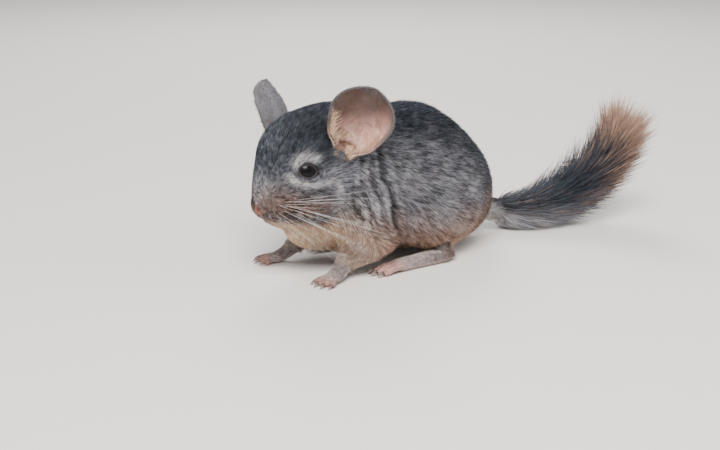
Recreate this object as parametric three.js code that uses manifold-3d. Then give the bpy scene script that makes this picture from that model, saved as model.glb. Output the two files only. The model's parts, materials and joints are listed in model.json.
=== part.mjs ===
import * as THREE from "three";
import { mergeVertices } from "three/addons/utils/BufferGeometryUtils.js";
import Module from "manifold-3d";

// A young standard-grey chinchilla at life size, crouched on all four feet with its tail raised.
// Millimetres, +Z up. While it is modelled the nose points to -X, the animal's left is -Y, the
// midline is Y = 0 and the soles rest on Z = 0. The last lines move it over the origin.
// Every size is that of the outside of the coat.

const wasm = await Module();
wasm.setup();

// Driving sizes
const GAP = 0.3; // between neighbouring pieces
const SLIVER = 0.03; // slivers thinner than this are smoothed away
const EYE_RADIUS = 6.2;
const EYE_OPENING = { long: 11.4, high: 8.2 };
const EAR = { length: 34, width: 29, thickness: 0.9, rootThickness: 1.7, sunk: 3 };
const FOREPAW = { length: 17, width: 8.5, height: 5, toes: 4, toeRadius: 1.45 };
const HINDFOOT = { length: 44, width: 9.4, height: 5.6, toes: 4, toeRadius: 1.9 };
const CLAW = { length: 2.4, radius: 0.75 };
const TAIL = { radius: 6.3, tipRadius: 3.4 };
const WHISKERS = { rows: 4, columns: 2, length: 46, radius: 0.4, tip: 0.14, sunk: 1.5 };
const LOCKS = { count: 100, seed: 11, width: 4.2, thickness: 1.5, tip: 0.5, sunk: 2.4 };
const STEP = { trunk: 5.4, neck: 4.6, head: 2.7, arm: 3.4 }; // mesh pitch of each region

const FINISHES = {
  coat: { color: 0x5c6168, roughness: 0.9 },
  brush: { color: 0x4a4343, roughness: 0.95 },
  foot: { color: 0xb98f84, roughness: 0.7 },
  ear: { color: 0x8b6f69, roughness: 0.75 },
  eye: { color: 0x07090b, roughness: 0.08 },
};

const deg = THREE.MathUtils.degToRad;
const lerp = THREE.MathUtils.lerp;
const vec = (x, y, z) => new THREE.Vector3(x, y, z);
const mirrored = ([x, y, z]) => [x, -y, z];
const turned = (yaw, pitch) =>
  new THREE.Matrix4().makeRotationFromEuler(new THREE.Euler(0, deg(pitch), deg(yaw), "ZYX"));

// Distance fields

// An ellipsoid, pitched about Y and then yawed about Z, in degrees.
function ellipsoid({ at, radii, yaw = 0, pitch = 0 }) {
  const e = turned(yaw, pitch).transpose().elements;
  const [rx, ry, rz] = radii;
  return (x, y, z) => {
    const dx = x - at[0];
    const dy = y - at[1];
    const dz = z - at[2];
    const px = (e[0] * dx + e[4] * dy + e[8] * dz) / rx;
    const py = (e[1] * dx + e[5] * dy + e[9] * dz) / ry;
    const pz = (e[2] * dx + e[6] * dy + e[10] * dz) / rz;
    const reach = Math.hypot(px, py, pz);
    const slope = Math.hypot(px / rx, py / ry, pz / rz);
    return slope < 1e-9 ? -Math.min(rx, ry, rz) : (reach * (reach - 1)) / slope;
  };
}

// A bar with round ends whose radius runs from r1 to r2.
function bar({ from, to, r1, r2 }) {
  const a = vec(...from);
  const along = vec(...to).sub(a);
  const lengthSquared = along.lengthSq();
  return (x, y, z) => {
    const dx = x - a.x;
    const dy = y - a.y;
    const dz = z - a.z;
    const place = (dx * along.x + dy * along.y + dz * along.z) / lengthSquared;
    const t = THREE.MathUtils.clamp(place, 0, 1);
    const off = Math.hypot(dx - along.x * t, dy - along.y * t, dz - along.z * t);
    return off - lerp(r1, r2, t);
  };
}

const smoothMin = (a, b, k) => {
  const h = Math.max(k - Math.abs(a - b), 0) / k;
  return Math.min(a, b) - (h * h * k) / 4;
};

// Each form in turn melts into those before it over its own blend distance.
function melted(forms, grow = 0) {
  const fields = forms.map((form) => (form.radii ? ellipsoid(form) : bar(form)));
  return (x, y, z) => {
    let d = fields[0](x, y, z);
    for (let n = 1; n < fields.length; n++)
      d = smoothMin(d, fields[n](x, y, z), forms[n].blend);
    return d - grow;
  };
}

const mirrorForm = (form) =>
  form.radii
    ? { ...form, at: mirrored(form.at), yaw: -(form.yaw ?? 0) }
    : { ...form, from: mirrored(form.from), to: mirrored(form.to) };
const bothSides = (forms) => forms.flatMap((form) => [form, mirrorForm(form)]);

// The forms of the body

const EYE = { at: [26.5, -11.4, 50.2], gaze: [-0.34, -0.92, 0.2], bulge: 0.8 };
const THIGH = { at: [96, -18, 25], radii: [24, 13, 20], pitch: -8, yaw: 4, blend: 7 };
const UPPER_ARM = { at: [59, -17, 26], radii: [12.5, 9, 18.5], pitch: 16, blend: 8 };

const NOSE = [11.8, 0, 33.2];

// Joints of each foreleg, with the middle of its toes on the floor
const FORELEGS = {
  left: { elbow: [61, -19, 16], wrist: [43, -17, 6.4], toes: [26, -21, 0] },
  right: { elbow: [58, 19, 16], wrist: [39, 18.5, 6.4], toes: [22.6, 24.5, 0] },
};
const HINDFEET = {
  left: { heel: [99, -25, 0], toes: [56.5, -21.5, 0] },
  right: { heel: [97, 25, 0], toes: [54, 24, 0] },
};

const TRUNK = [
  { at: [89.5, 0, 39.5], radii: [33, 25, 31.5], pitch: 9, blend: 8 },
  { at: [66, 0, 37], radii: [27, 21.5, 26.5], pitch: -6, blend: 16 },
  { at: [112.5, 0, 27.5], radii: [25.5, 22, 24.5], pitch: 24, blend: 14 },
  { at: [76, 0, 22], radii: [34, 19, 15.5], blend: 10 },
  { at: [108, 0, 20.5], radii: [24, 20, 17.5], blend: 10 },
  { at: [128, 0, 15], radii: [9, 9, 8.5], blend: 8 },
  { at: [40.5, 0, 25], radii: [18, 13.5, 14.5], pitch: 8, blend: 10 },
  { at: [55, 0, 48], radii: [18, 19, 24.5], pitch: -12, blend: 14 },
  ...bothSides([THIGH, UPPER_ARM]),
];

const HEAD = [
  { at: [41.5, 0, 55], radii: [22, 20, 19.5], pitch: -8, blend: 10 },
  { at: [28.5, 0, 53], radii: [16.6, 14.5, 17], pitch: -34, blend: 9 },
  { at: [19.6, 0, 40], radii: [10.8, 9.8, 11.5], blend: 8 },
  { at: [26.5, 0, 34], radii: [13, 9.5, 9], pitch: 8, blend: 7 },
  { at: [20.5, 0, 28.6], radii: [6, 4.8, 4.2], pitch: 8, blend: 3 },
  { at: NOSE, radii: [2.6, 3.3, 2.7], blend: 2 },
  ...bothSides([
    { at: [36, -11, 42], radii: [14.5, 9, 12.5], pitch: -20, blend: 7 },
    { at: [18, -4.9, 34], radii: [7.8, 5.6, 6.2], pitch: -14, yaw: 10, blend: 2.5 },
    { at: EYE.at, radii: [EYE_RADIUS + 1, EYE_RADIUS + 0.9, EYE_RADIUS + 0.9], blend: 4 },
  ]),
];

const forearm = ({ elbow, wrist }) => ({ from: elbow, to: wrist, r1: 7.6, r2: 4, blend: 6 });
const flesh = melted([...TRUNK, ...HEAD, ...Object.values(FORELEGS).map(forearm)]);

// Meshes

function geometryOf(points, faces) {
  const geometry = new THREE.BufferGeometry();
  geometry.setFromPoints(points);
  geometry.setIndex(faces);
  return geometry;
}

const AXES = [
  [1, 0, 0],
  [0, 1, 0],
  [0, 0, 1],
];
const SQUARE = [
  [0, 0],
  [1, 0],
  [1, 1],
  [0, 1],
];

// The zero surface of a field inside a box, with one quad for each grid edge that crosses it.
// Where the body runs on through a side of the box it is closed off flat.
function netSurface(field, low, high, step) {
  const [nx, ny, nz] = low.map((v, i) => Math.ceil((high[i] - v) / step) + 1);
  const corner = (i, j, k) => (k * ny + j) * nx + i;
  const atSide = (i, j, k) =>
    i === 0 || j === 0 || k === 0 || i === nx - 1 || j === ny - 1 || k === nz - 1;
  const value = new Float64Array(nx * ny * nz);
  for (let k = 0; k < nz; k++)
    for (let j = 0; j < ny; j++)
      for (let i = 0; i < nx; i++) {
        const v = field(low[0] + i * step, low[1] + j * step, low[2] + k * step);
        value[corner(i, j, k)] = atSide(i, j, k) ? Math.max(v, step / 10) : v;
      }

  const points = [];
  const pointOfCell = new Map();
  const crossing = (start, axis) => {
    const va = value[corner(...start)];
    const vb = value[corner(...start.map((n, m) => n + axis[m]))];
    return va < 0 === vb < 0 ? null : va / (va - vb);
  };
  for (let k = 0; k < nz - 1; k++)
    for (let j = 0; j < ny - 1; j++)
      for (let i = 0; i < nx - 1; i++) {
        const sum = vec(0, 0, 0);
        let crossings = 0;
        for (const [a, axis] of AXES.entries())
          for (const [u, v] of SQUARE) {
            const start = [i, j, k];
            start[(a + 1) % 3] += u;
            start[(a + 2) % 3] += v;
            const t = crossing(start, axis);
            if (t === null) continue;
            sum.add(vec(...start.map((n, m) => n + axis[m] * t)));
            crossings++;
          }
        if (!crossings) continue;
        const middle = sum.multiplyScalar(step / crossings).add(vec(...low));
        const closing = atSide(i, j, k) || atSide(i + 1, j + 1, k + 1);
        pointOfCell.set(corner(i, j, k), points.length);
        points.push(closing ? middle : ontoSurface(field, middle, step / 2));
      }

  const faces = [];
  for (let k = 0; k < nz - 1; k++)
    for (let j = 0; j < ny - 1; j++)
      for (let i = 0; i < nx - 1; i++)
        for (const [a, axis] of AXES.entries()) {
          const start = [i, j, k];
          if (start[(a + 1) % 3] === 0 || start[(a + 2) % 3] === 0) continue;
          if (crossing(start, axis) === null) continue;
          const ring = SQUARE.map(([u, v]) => {
            const cell = [i, j, k];
            cell[(a + 1) % 3] -= u;
            cell[(a + 2) % 3] -= v;
            return pointOfCell.get(corner(...cell));
          });
          if (value[corner(i, j, k)] > 0) ring.reverse();
          const [p, q, r, s] = ring;
          const short = points[p].distanceTo(points[r]) < points[q].distanceTo(points[s]);
          faces.push(...(short ? [p, q, r, p, r, s] : [q, r, s, q, s, p]));
        }
  return geometryOf(points, faces);
}

function slopeOf(field, p) {
  const h = 0.05;
  return vec(
    field(p.x + h, p.y, p.z) - field(p.x - h, p.y, p.z),
    field(p.x, p.y + h, p.z) - field(p.x, p.y - h, p.z),
    field(p.x, p.y, p.z + h) - field(p.x, p.y, p.z - h),
  ).divideScalar(2 * h);
}

// Moves a point along the field's slope until it lies on the surface, by at most reach.
function ontoSurface(field, start, reach) {
  const p = start.clone();
  for (let turn = 0; turn < 4; turn++) {
    const slope = slopeOf(field, p);
    p.addScaledVector(slope, -field(p.x, p.y, p.z) / Math.max(slope.lengthSq(), 0.05));
  }
  return start.clone().add(p.sub(start).clampLength(0, reach));
}

const curveThrough = (...points) =>
  new THREE.CatmullRomCurve3(points.map((p) => vec(...p)), false, "centripetal");

// Reads a value between [place, value] pairs, where place runs from 0 to 1.
function between(pairs, t) {
  const next = Math.max(1, pairs.findIndex(([place]) => place >= t - 1e-9));
  const [t0, v0] = pairs[next - 1];
  const [t1, v1] = pairs[next];
  return lerp(v0, v1, (t - t0) / (t1 - t0));
}

// A closed tube along a curve. wide and high list its half sizes from the first end to the last.
function tube({ curve, wide, high, steps, sides, up = vec(0, 0, 1), grow = 0 }) {
  const points = [];
  const faces = [];
  for (let i = 0; i <= steps; i++) {
    const t = i / steps;
    const centre = curve.getPointAt(t);
    const tangent = curve.getTangentAt(t);
    const across = up.clone().cross(tangent).normalize();
    const upward = tangent.clone().cross(across).normalize();
    for (let s = 0; s < sides; s++) {
      const angle = ((s + 0.5) / sides) * 2 * Math.PI;
      const p = centre.clone();
      p.addScaledVector(across, (between(wide, t) + grow) * Math.cos(angle));
      p.addScaledVector(upward, (between(high, t) + grow) * Math.sin(angle));
      points.push(p);
    }
  }
  for (let i = 0; i < steps; i++)
    for (let s = 0; s < sides; s++) {
      const a = i * sides + s;
      const b = i * sides + ((s + 1) % sides);
      faces.push(a, b, b + sides, a, b + sides, a + sides);
    }
  const last = steps * sides;
  for (let s = 1; s < sides - 1; s++) faces.push(0, s + 1, s, last, last + s, last + s + 1);
  return geometryOf(points, faces);
}

// Solids

function solid(geometry) {
  const bare = new THREE.BufferGeometry();
  const flat = geometry.index ? geometry.toNonIndexed() : geometry;
  bare.setAttribute("position", flat.getAttribute("position"));
  const merged = mergeVertices(bare, 1e-4);
  return new wasm.Manifold(
    new wasm.Mesh({
      numProp: 3,
      vertProperties: new Float32Array(merged.attributes.position.array),
      triVerts: new Uint32Array(merged.index.array),
    }),
  );
}

const joined = (solids) => wasm.Manifold.union(solids);
const without = (body, ...pieces) => pieces.reduce((rest, piece) => rest.subtract(piece), body);
const largest = (body) => body.decompose().sort((a, b) => b.volume() - a.volume())[0];

// All that lies beyond a plane, which is moved along its normal by shift.
function beyond({ at, normal }, shift = 0) {
  const size = 400;
  const facing = vec(...normal).normalize();
  const box = new THREE.BoxGeometry(size, size, size);
  box.translate(0, 0, size / 2 + shift);
  box.applyQuaternion(new THREE.Quaternion().setFromUnitVectors(vec(0, 0, 1), facing));
  return solid(box.translate(...at));
}

function ball({ at, radii, yaw = 0 }, grow = 0, segments = 18) {
  const geometry = new THREE.SphereGeometry(1, segments, Math.round(segments * 0.6));
  geometry.scale(...radii.map((r) => r + grow));
  geometry.rotateZ(deg(yaw));
  return solid(geometry.translate(...at));
}

// Trunk and neck

const NAPE = { at: [46.5, 0, 50], normal: [0.894, 0, -0.447] }; // behind the ears and the jaw
const THROAT = { at: [30, 0, 23.4], normal: [0.3, 0, -1] }; // under the jaw
const SHOULDER_LINE = { at: [62, 0, 50], normal: [0.9, 0, -0.43] };
const BELOW_FLOOR = { at: [0, 0, 0], normal: [0, 0, -1] };

const trunkSurface = solid(netSurface(flesh, [30, -44, -6], [160, 44, 84], STEP.trunk));
const neckSurface = solid(netSurface(flesh, [22, -40, -6], [92, 40, 84], STEP.neck));
const headSurface = solid(netSurface(flesh, [-2, -32, 14], [76, 32, 84], STEP.head));

// Legs

// The outline of each limb seen from the side, as pairs of x and z
const ARM_OUTLINE = [
  [48, -4], [34, -4], [33, 8], [43, 19], [47, 33], [52, 43], [60, 46], [68, 43], [73, 33],
  [73, 20], [66, 4],
];
const THIGH_OUTLINE = new THREE.EllipseCurve(97, 25, 25, 21.5, 0, 2 * Math.PI, false, deg(-8))
  .getPoints(18)
  .slice(1)
  .map((p) => [p.x, p.y]);

// All that lies within a side outline, from inside |y| = inner outwards on one side
function limbSpace(outline, side, inner, grow = 0) {
  const middle = outline.reduce((sum, [x, z]) => sum.add(vec(x, 0, z)), vec(0, 0, 0));
  middle.divideScalar(outline.length);
  const points = outline.map(([x, z]) => {
    const away = vec(x, 0, z).sub(middle);
    const p = middle.clone().add(away.setLength(away.length() + grow));
    return new THREE.Vector2(p.x, p.z);
  });
  const depth = 40;
  const slab = new THREE.ExtrudeGeometry(new THREE.Shape(points), { depth, bevelEnabled: false });
  slab.rotateX(Math.PI / 2); // now from y = 0 to y = -depth
  slab.translate(0, grow - inner, 0);
  const body = solid(slab);
  return side === "left" ? body : body.mirror([0, 1, 0]);
}

// The way from the wrist or heel to the middle of the toes, on the floor
function footFrame(back, toes) {
  const forward = vec(...toes).sub(vec(...back)).setZ(0).normalize();
  const outward = vec(0, 0, 1).cross(forward);
  return (along, across, height) =>
    vec(back[0], back[1], height)
      .addScaledVector(forward, along)
      .addScaledVector(outward, across)
      .toArray();
}

// One toe arched from its knuckle to the floor, with a short claw
function toe({ place, start, tip, across, spread, radius, grow }) {
  const knuckle = place(start, across, radius * 1.5);
  const top = place(lerp(start, tip, 0.5), lerp(across, spread, 0.5), radius * 1.25);
  const pad = place(tip - radius, spread, radius * 0.6);
  const finger = tube({
    curve: curveThrough(knuckle, top, pad),
    wide: [[0, radius * 0.9], [0.6, radius * 0.9], [0.85, radius], [1, radius * 0.55]],
    high: [[0, radius * 0.9], [0.6, radius * 0.85], [0.85, radius], [1, radius * 0.55]],
    steps: 4,
    sides: 6,
    grow,
  });
  const claw = tube({
    curve: curveThrough(
      place(tip - radius * 1.3, spread, radius * 1.1),
      place(tip + CLAW.length * 0.3, spread, radius * 1.0),
      place(tip + CLAW.length, spread * 1.02, radius * 0.35),
    ),
    wide: [[0, CLAW.radius], [1, 0.2]],
    high: [[0, CLAW.radius], [1, 0.2]],
    steps: 2,
    sides: 4,
    grow,
  });
  return [solid(finger), solid(claw)];
}

function forepaw(side, grow = 0) {
  const { wrist, toes } = FORELEGS[side];
  const place = footFrame(wrist, toes);
  const { length, width, height, toeRadius } = FOREPAW;
  const half = width / 2;
  const palm = tube({
    curve: curveThrough(
      place(-2.2, 0, wrist[2] + 1.2),
      place(2, 0, height * 0.85),
      place(length * 0.36, 0, height * 0.46),
      place(length * 0.66, 0, height * 0.3),
    ),
    wide: [[0, 3.5], [0.35, half * 0.84], [0.8, half], [1, half * 0.8]],
    high: [[0, 3.6], [0.35, height * 0.52], [0.8, height * 0.42], [1, height * 0.28]],
    steps: 6,
    sides: 10,
    grow,
  });
  const pieces = [solid(palm)];
  for (let n = 0; n < FOREPAW.toes; n++) {
    const fan = (n / (FOREPAW.toes - 1)) * 2 - 1;
    pieces.push(
      ...toe({
        place,
        start: length * 0.5,
        tip: length - Math.abs(fan) * 2.2,
        across: fan * (half - toeRadius),
        spread: fan * (half + 0.8),
        radius: toeRadius,
        grow,
      }),
    );
  }
  return joined(pieces);
}

function hindfoot(side, grow = 0) {
  const { heel, toes } = HINDFEET[side];
  const place = footFrame(heel, toes);
  const outside = side === "left" ? 1 : -1;
  const { length, width, height, toeRadius } = HINDFOOT;
  const half = width / 2;
  const sole = tube({
    curve: curveThrough(
      place(0, 0, height * 0.5),
      place(length * 0.2, 0, height * 0.5),
      place(length * 0.5, 0, height * 0.46),
      place(length * 0.76, 0, height * 0.42),
    ),
    wide: [[0, 2.2], [0.08, 3.4], [0.3, 3.6], [0.7, half * 0.86], [0.9, half], [1, half * 0.8]],
    high: [[0, 1.6], [0.08, 2.9], [0.5, 3], [0.85, height * 0.5], [1, height * 0.34]],
    steps: 8,
    sides: 10,
    grow,
  });
  const shank = tube({
    curve: curveThrough(
      place(3.4, 0, 2.8),
      place(5, outside * -2.5, 8),
      place(10, outside * -8, 14),
    ),
    wide: [[0, 2.6], [0.4, 3.4], [1, 4.6]],
    high: [[0, 2.6], [0.4, 4], [1, 5.4]],
    steps: 4,
    sides: 8,
    up: vec(1, 0, 0),
    grow,
  });
  const pieces = [solid(sole), solid(shank)];
  for (let n = 0; n < HINDFOOT.toes; n++) {
    const small = n === HINDFOOT.toes - 1; // the short inner toe
    const fan = outside * (small ? -1.1 : n * 0.85 - 0.55);
    pieces.push(
      ...toe({
        place,
        start: small ? length * 0.6 : length * 0.7,
        tip: small ? length * 0.8 : length - Math.abs(fan) * 1.6,
        across: fan * (half - toeRadius),
        spread: fan * (half - toeRadius * 0.5),
        radius: small ? toeRadius * 0.7 : toeRadius,
        grow,
      }),
    );
  }
  return joined(pieces);
}

const trimmed = (foot) => without(foot, beyond(BELOW_FLOOR));

// Ears

// An ear is a rolled leaf: each row across it is an arc, nearly a ring at the root and open above.
const LEAF_WIDTH = [
  [0, 0.5], [0.12, 0.66], [0.3, 0.88], [0.48, 1], [0.64, 0.99], [0.78, 0.88], [0.88, 0.71],
  [0.95, 0.48], [1, 0.16],
];
const LEAF_ROLL = [[0, 2.1], [0.15, 1.8], [0.35, 1.3], [0.6, 0.95], [1, 0.8]];

function ear({ root, up, outward }, grow = 0) {
  const rows = 13;
  const columns = 12;
  const rowWiden = 1 + grow / (EAR.width * 0.15);
  const rowAt = (j) => lerp(-grow / EAR.length, 1, 1 - (1 - j / rows) ** 1.35);
  const long = vec(...up).normalize();
  const facing = vec(...outward);
  facing.addScaledVector(long, -facing.dot(long)).normalize();
  const side = long.clone().cross(facing);
  const pointAt = (t, a) => {
    const roll = between(LEAF_ROLL, t) * a;
    const radius = ((EAR.width / 2) * between(LEAF_WIDTH, t) * 1.12) / between(LEAF_ROLL, t);
    return vec(...root)
      .addScaledVector(long, EAR.length * t - EAR.sunk)
      .addScaledVector(side, radius * Math.sin(roll))
      .addScaledVector(facing, radius * (1 - Math.cos(roll)) - 3 * Math.sin(Math.PI * t));
  };
  const faces = [];
  const inner = [];
  const outer = [];
  for (let j = 0; j <= rows; j++)
    for (let i = 0; i <= columns; i++) {
      const t = rowAt(j);
      const a = ((i / columns) * 2 - 1) * rowWiden;
      const p = pointAt(t, a);
      const e = 0.01;
      const alongLeaf = pointAt(Math.min(t + e, 1), a).sub(pointAt(Math.max(t - e, 0), a));
      const acrossLeaf = pointAt(t, a + e).sub(pointAt(t, a - e));
      const normal = alongLeaf.cross(acrossLeaf).normalize();
      const half = lerp(EAR.rootThickness, EAR.thickness, THREE.MathUtils.clamp(t * 2.5, 0, 1)) / 2 + grow;
      inner.push(p.clone().addScaledVector(normal, half));
      outer.push(p.clone().addScaledVector(normal, -half));
    }
  const size = inner.length;
  const index = (j, i) => j * (columns + 1) + i;
  for (let j = 0; j < rows; j++)
    for (let i = 0; i < columns; i++) {
      const [a, b, c, d] = [index(j, i), index(j, i + 1), index(j + 1, i + 1), index(j + 1, i)];
      faces.push(a, c, b, a, d, c, a + size, b + size, c + size, a + size, c + size, d + size);
    }
  const rim = [];
  for (let i = 0; i < columns; i++) rim.push(index(0, i));
  for (let j = 0; j < rows; j++) rim.push(index(j, columns));
  for (let i = columns; i > 0; i--) rim.push(index(rows, i));
  for (let j = rows; j > 0; j--) rim.push(index(j, 0));
  rim.forEach((a, n) => {
    const b = rim[(n + 1) % rim.length];
    faces.push(a, b, b + size, a, b + size, a + size);
  });
  return solid(geometryOf([...inner, ...outer], faces));
}

const EARS = {
  left: { root: [43.5, -16, 58], up: [0.25, -0.42, 0.87], outward: [-0.55, -0.8, 0.1] },
  right: { root: [39.5, 18.5, 55], up: [-0.12, 0.46, 0.88], outward: [-0.58, 0.78, 0.1] },
};

// Tail

const TAIL_PATH = curveThrough(
  [130, 0, 16], [141, 0, 12.4], [150, -2, 9.6], [161, -6, 8], [173, -10, 9.4], [185, -14.5, 13.6],
  [195, -18, 20], [203, -20.5, 28], [208, -22.5, 36.5], [210.5, -23.5, 43],
);
const BRUSH_START = 0.22; // share of the tail's path before the long hair
const BRUSH_LINE = {
  at: TAIL_PATH.getPointAt(BRUSH_START).toArray(),
  normal: TAIL_PATH.getTangentAt(BRUSH_START).toArray(),
};

function tailCore(grow = 0) {
  const sizes = [[0, TAIL.radius], [0.97, TAIL.tipRadius], [1, 1]];
  return solid(
    tube({
      curve: TAIL_PATH,
      wide: sizes,
      high: sizes,
      steps: 18,
      sides: 10,
      up: vec(0, 1, 0),
      grow,
    }),
  );
}

// Hair of the brush

function seededRandom(seed) {
  let state = seed;
  return () => {
    state = (state * 1664525 + 1013904223) % 4294967296;
    return state / 4294967296;
  };
}

// One flat lock: it leaves its root at a slant, bends back along the tail and ends in a thin tip.
function lock({ root, along, out, length, splay, width, thickness }) {
  const away = along.clone().multiplyScalar(Math.cos(splay)).addScaledVector(out, Math.sin(splay));
  const bent = away.clone().lerp(along, 0.35).normalize();
  const start = root.clone().addScaledVector(out, -LOCKS.sunk);
  const middle = root.clone().addScaledVector(away, length * 0.45);
  const end = middle.clone().addScaledVector(bent, length * 0.55);
  return solid(
    tube({
      curve: curveThrough(start.toArray(), middle.toArray(), end.toArray()),
      wide: [[0, width * 0.4], [0.5, width / 2], [1, LOCKS.tip / 2]],
      high: [[0, thickness / 2], [0.5, thickness / 2], [1, LOCKS.tip / 2]],
      steps: 2,
      sides: 4,
      up: out,
    }),
  );
}

// Locks spiral down the brush. They are longest near the tip and flattest on the underside.
function brushLocks() {
  const random = seededRandom(LOCKS.seed);
  const goldenAngle = Math.PI * (3 - Math.sqrt(5));
  return [...Array(LOCKS.count).keys()].map((n) => {
    const place = (n + 0.5) / LOCKS.count;
    const t = lerp(BRUSH_START + 0.04, 0.985, place);
    const along = TAIL_PATH.getTangentAt(t);
    const across = vec(0, 1, 0).cross(along).normalize();
    const upward = along.clone().cross(across);
    const angle = n * goldenAngle;
    const out = across.multiplyScalar(Math.cos(angle)).addScaledVector(upward, Math.sin(angle));
    const under = Math.max(0, -out.z) * (1 - place);
    const over = Math.max(0, out.z, -out.x) * Math.sin(Math.PI * place);
    const radius = lerp(TAIL.radius, TAIL.tipRadius, t);
    return lock({
      root: TAIL_PATH.getPointAt(t).addScaledVector(out, radius * 0.9),
      along,
      out,
      length: lerp(17, 24, Math.min(1, place * 1.3)) * lerp(0.85, 1.1, random()) * (1 + 0.2 * over),
      splay: deg(lerp(24, 32, place) * lerp(0.75, 1.2, random()) * (1 + 0.5 * over - 0.55 * under)),
      width: LOCKS.width * lerp(0.85, 1.2, random()),
      thickness: LOCKS.thickness,
    });
  });
}

// Face

const onFace = (x, y, z) => ontoSurface(flesh, vec(x, y, z), 6).toArray();

// The opening between the lids, an almond seen along the gaze
function lidOpening(side) {
  const almond = [...Array(16).keys()].map((n) => {
    const angle = (n / 16) * 2 * Math.PI;
    const x = (Math.cos(angle) * EYE_OPENING.long) / 2;
    const pinch = 1 - 0.25 * Math.abs(Math.cos(angle)) ** 4;
    return new THREE.Vector2(x, (Math.sin(angle) * pinch * EYE_OPENING.high) / 2);
  });
  const cut = new THREE.ExtrudeGeometry(new THREE.Shape(almond), { depth: 12, bevelEnabled: false });
  cut.rotateZ(deg(-8));
  const outward = vec(...EYE.gaze).normalize();
  const front = vec(0, 0, 1).cross(outward).normalize();
  const upward = outward.clone().cross(front);
  cut.applyMatrix4(new THREE.Matrix4().makeBasis(front, upward, outward));
  const body = solid(cut.translate(...EYE.at));
  return side === "left" ? body : body.mirror([0, 1, 0]);
}

const eyeCentre = vec(...EYE.gaze).setLength(EYE.bulge).add(vec(...EYE.at)).toArray();
const eyeAt = (side) => (side === "left" ? eyeCentre : mirrored(eyeCentre));
const eyeball = (side, grow = 0) =>
  ball({ at: eyeAt(side), radii: [EYE_RADIUS, EYE_RADIUS, EYE_RADIUS] }, grow);

// The line of the mouth, from under the nose down and back along each lip
function mouthLine(sign) {
  const points = [[10, 0, 30.6], [12.5, 0.3, 28.8], [15, 3.6, 29.2], [19.5, 6.2, 29.6], [24, 7.6, 31.2]];
  return solid(
    tube({
      curve: curveThrough(...points.map(([x, y, z]) => onFace(x, y * sign, z))),
      wide: [[0, 0.35], [0.3, 0.55], [0.8, 0.5], [1, 0.2]],
      high: [[0, 0.5], [0.3, 0.8], [0.8, 0.7], [1, 0.2]],
      steps: 10,
      sides: 6,
    }),
  );
}

const nostril = (sign) =>
  ball(
    { at: onFace(NOSE[0] - 2, sign * 1.5, NOSE[2] + 0.3), radii: [1.4, 0.6, 0.8], yaw: sign * 30 },
    0,
    10,
  );

// Whiskers fan out from the muzzle's pads, and sweep back and down
function whisker(sign, row, column) {
  const rise = lerp(0.38, -0.45, row / (WHISKERS.rows - 1));
  const out = vec(0.1 + 0.25 * column, sign, rise).normalize();
  const back = vec(0.9, 0.45 * sign, rise - 0.15).normalize();
  const length = WHISKERS.length + 4 * column - 2.5 * Math.abs(row - 1.4);
  const root = vec(...onFace(15 + 4 * column, sign * 9, 37 - 1.6 * row));
  const start = root.clone().addScaledVector(out, -WHISKERS.sunk);
  const middle = root.clone().addScaledVector(out, length * 0.45).addScaledVector(back, length * 0.08);
  const end = root.clone().addScaledVector(out, length * 0.62).addScaledVector(back, length * 0.45);
  const taper = [[0, WHISKERS.radius], [0.6, WHISKERS.radius * 0.8], [1, WHISKERS.tip]];
  return solid(
    tube({
      curve: curveThrough(start.toArray(), middle.toArray(), end.toArray()),
      wide: taper,
      high: taper,
      steps: 3,
      sides: 3,
    }),
  );
}

function whiskers() {
  const places = [...Array(WHISKERS.rows * WHISKERS.columns).keys()];
  return [-1, 1].flatMap((sign) =>
    places.map((n) => whisker(sign, n % WHISKERS.rows, Math.floor(n / WHISKERS.rows))),
  );
}

// Nodes

const chinchilla = new THREE.Group();

function addNode(name, body, finish) {
  const { numProp, vertProperties, triVerts } = largest(body).asOriginal().simplify(SLIVER).getMesh();
  const geometry = new THREE.BufferGeometry();
  geometry.setAttribute("position", new THREE.BufferAttribute(vertProperties, numProp));
  geometry.setIndex(new THREE.BufferAttribute(triVerts, 1));
  const mesh = new THREE.Mesh(geometry, new THREE.MeshStandardMaterial(FINISHES[finish]));
  mesh.name = name;
  chinchilla.add(mesh);
}

const SIDES = ["left", "right"];
const ARM_INNER = 11.5;
const THIGH_INNER = 9;
const LOWEST_FUR = { at: [0, 0, 1], normal: [0, 0, -1] };

const armHoles = SIDES.map((side) => limbSpace(ARM_OUTLINE, side, ARM_INNER, GAP));
const thighHoles = SIDES.map((side) => limbSpace(THIGH_OUTLINE, side, THIGH_INNER, GAP));
const footHoles = SIDES.flatMap((side) => [hindfoot(side, GAP), forepaw(side, GAP)]);
const tail = trimmed(tailCore());
const body = without(trunkSurface, ...footHoles, beyond(LOWEST_FUR));

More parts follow.
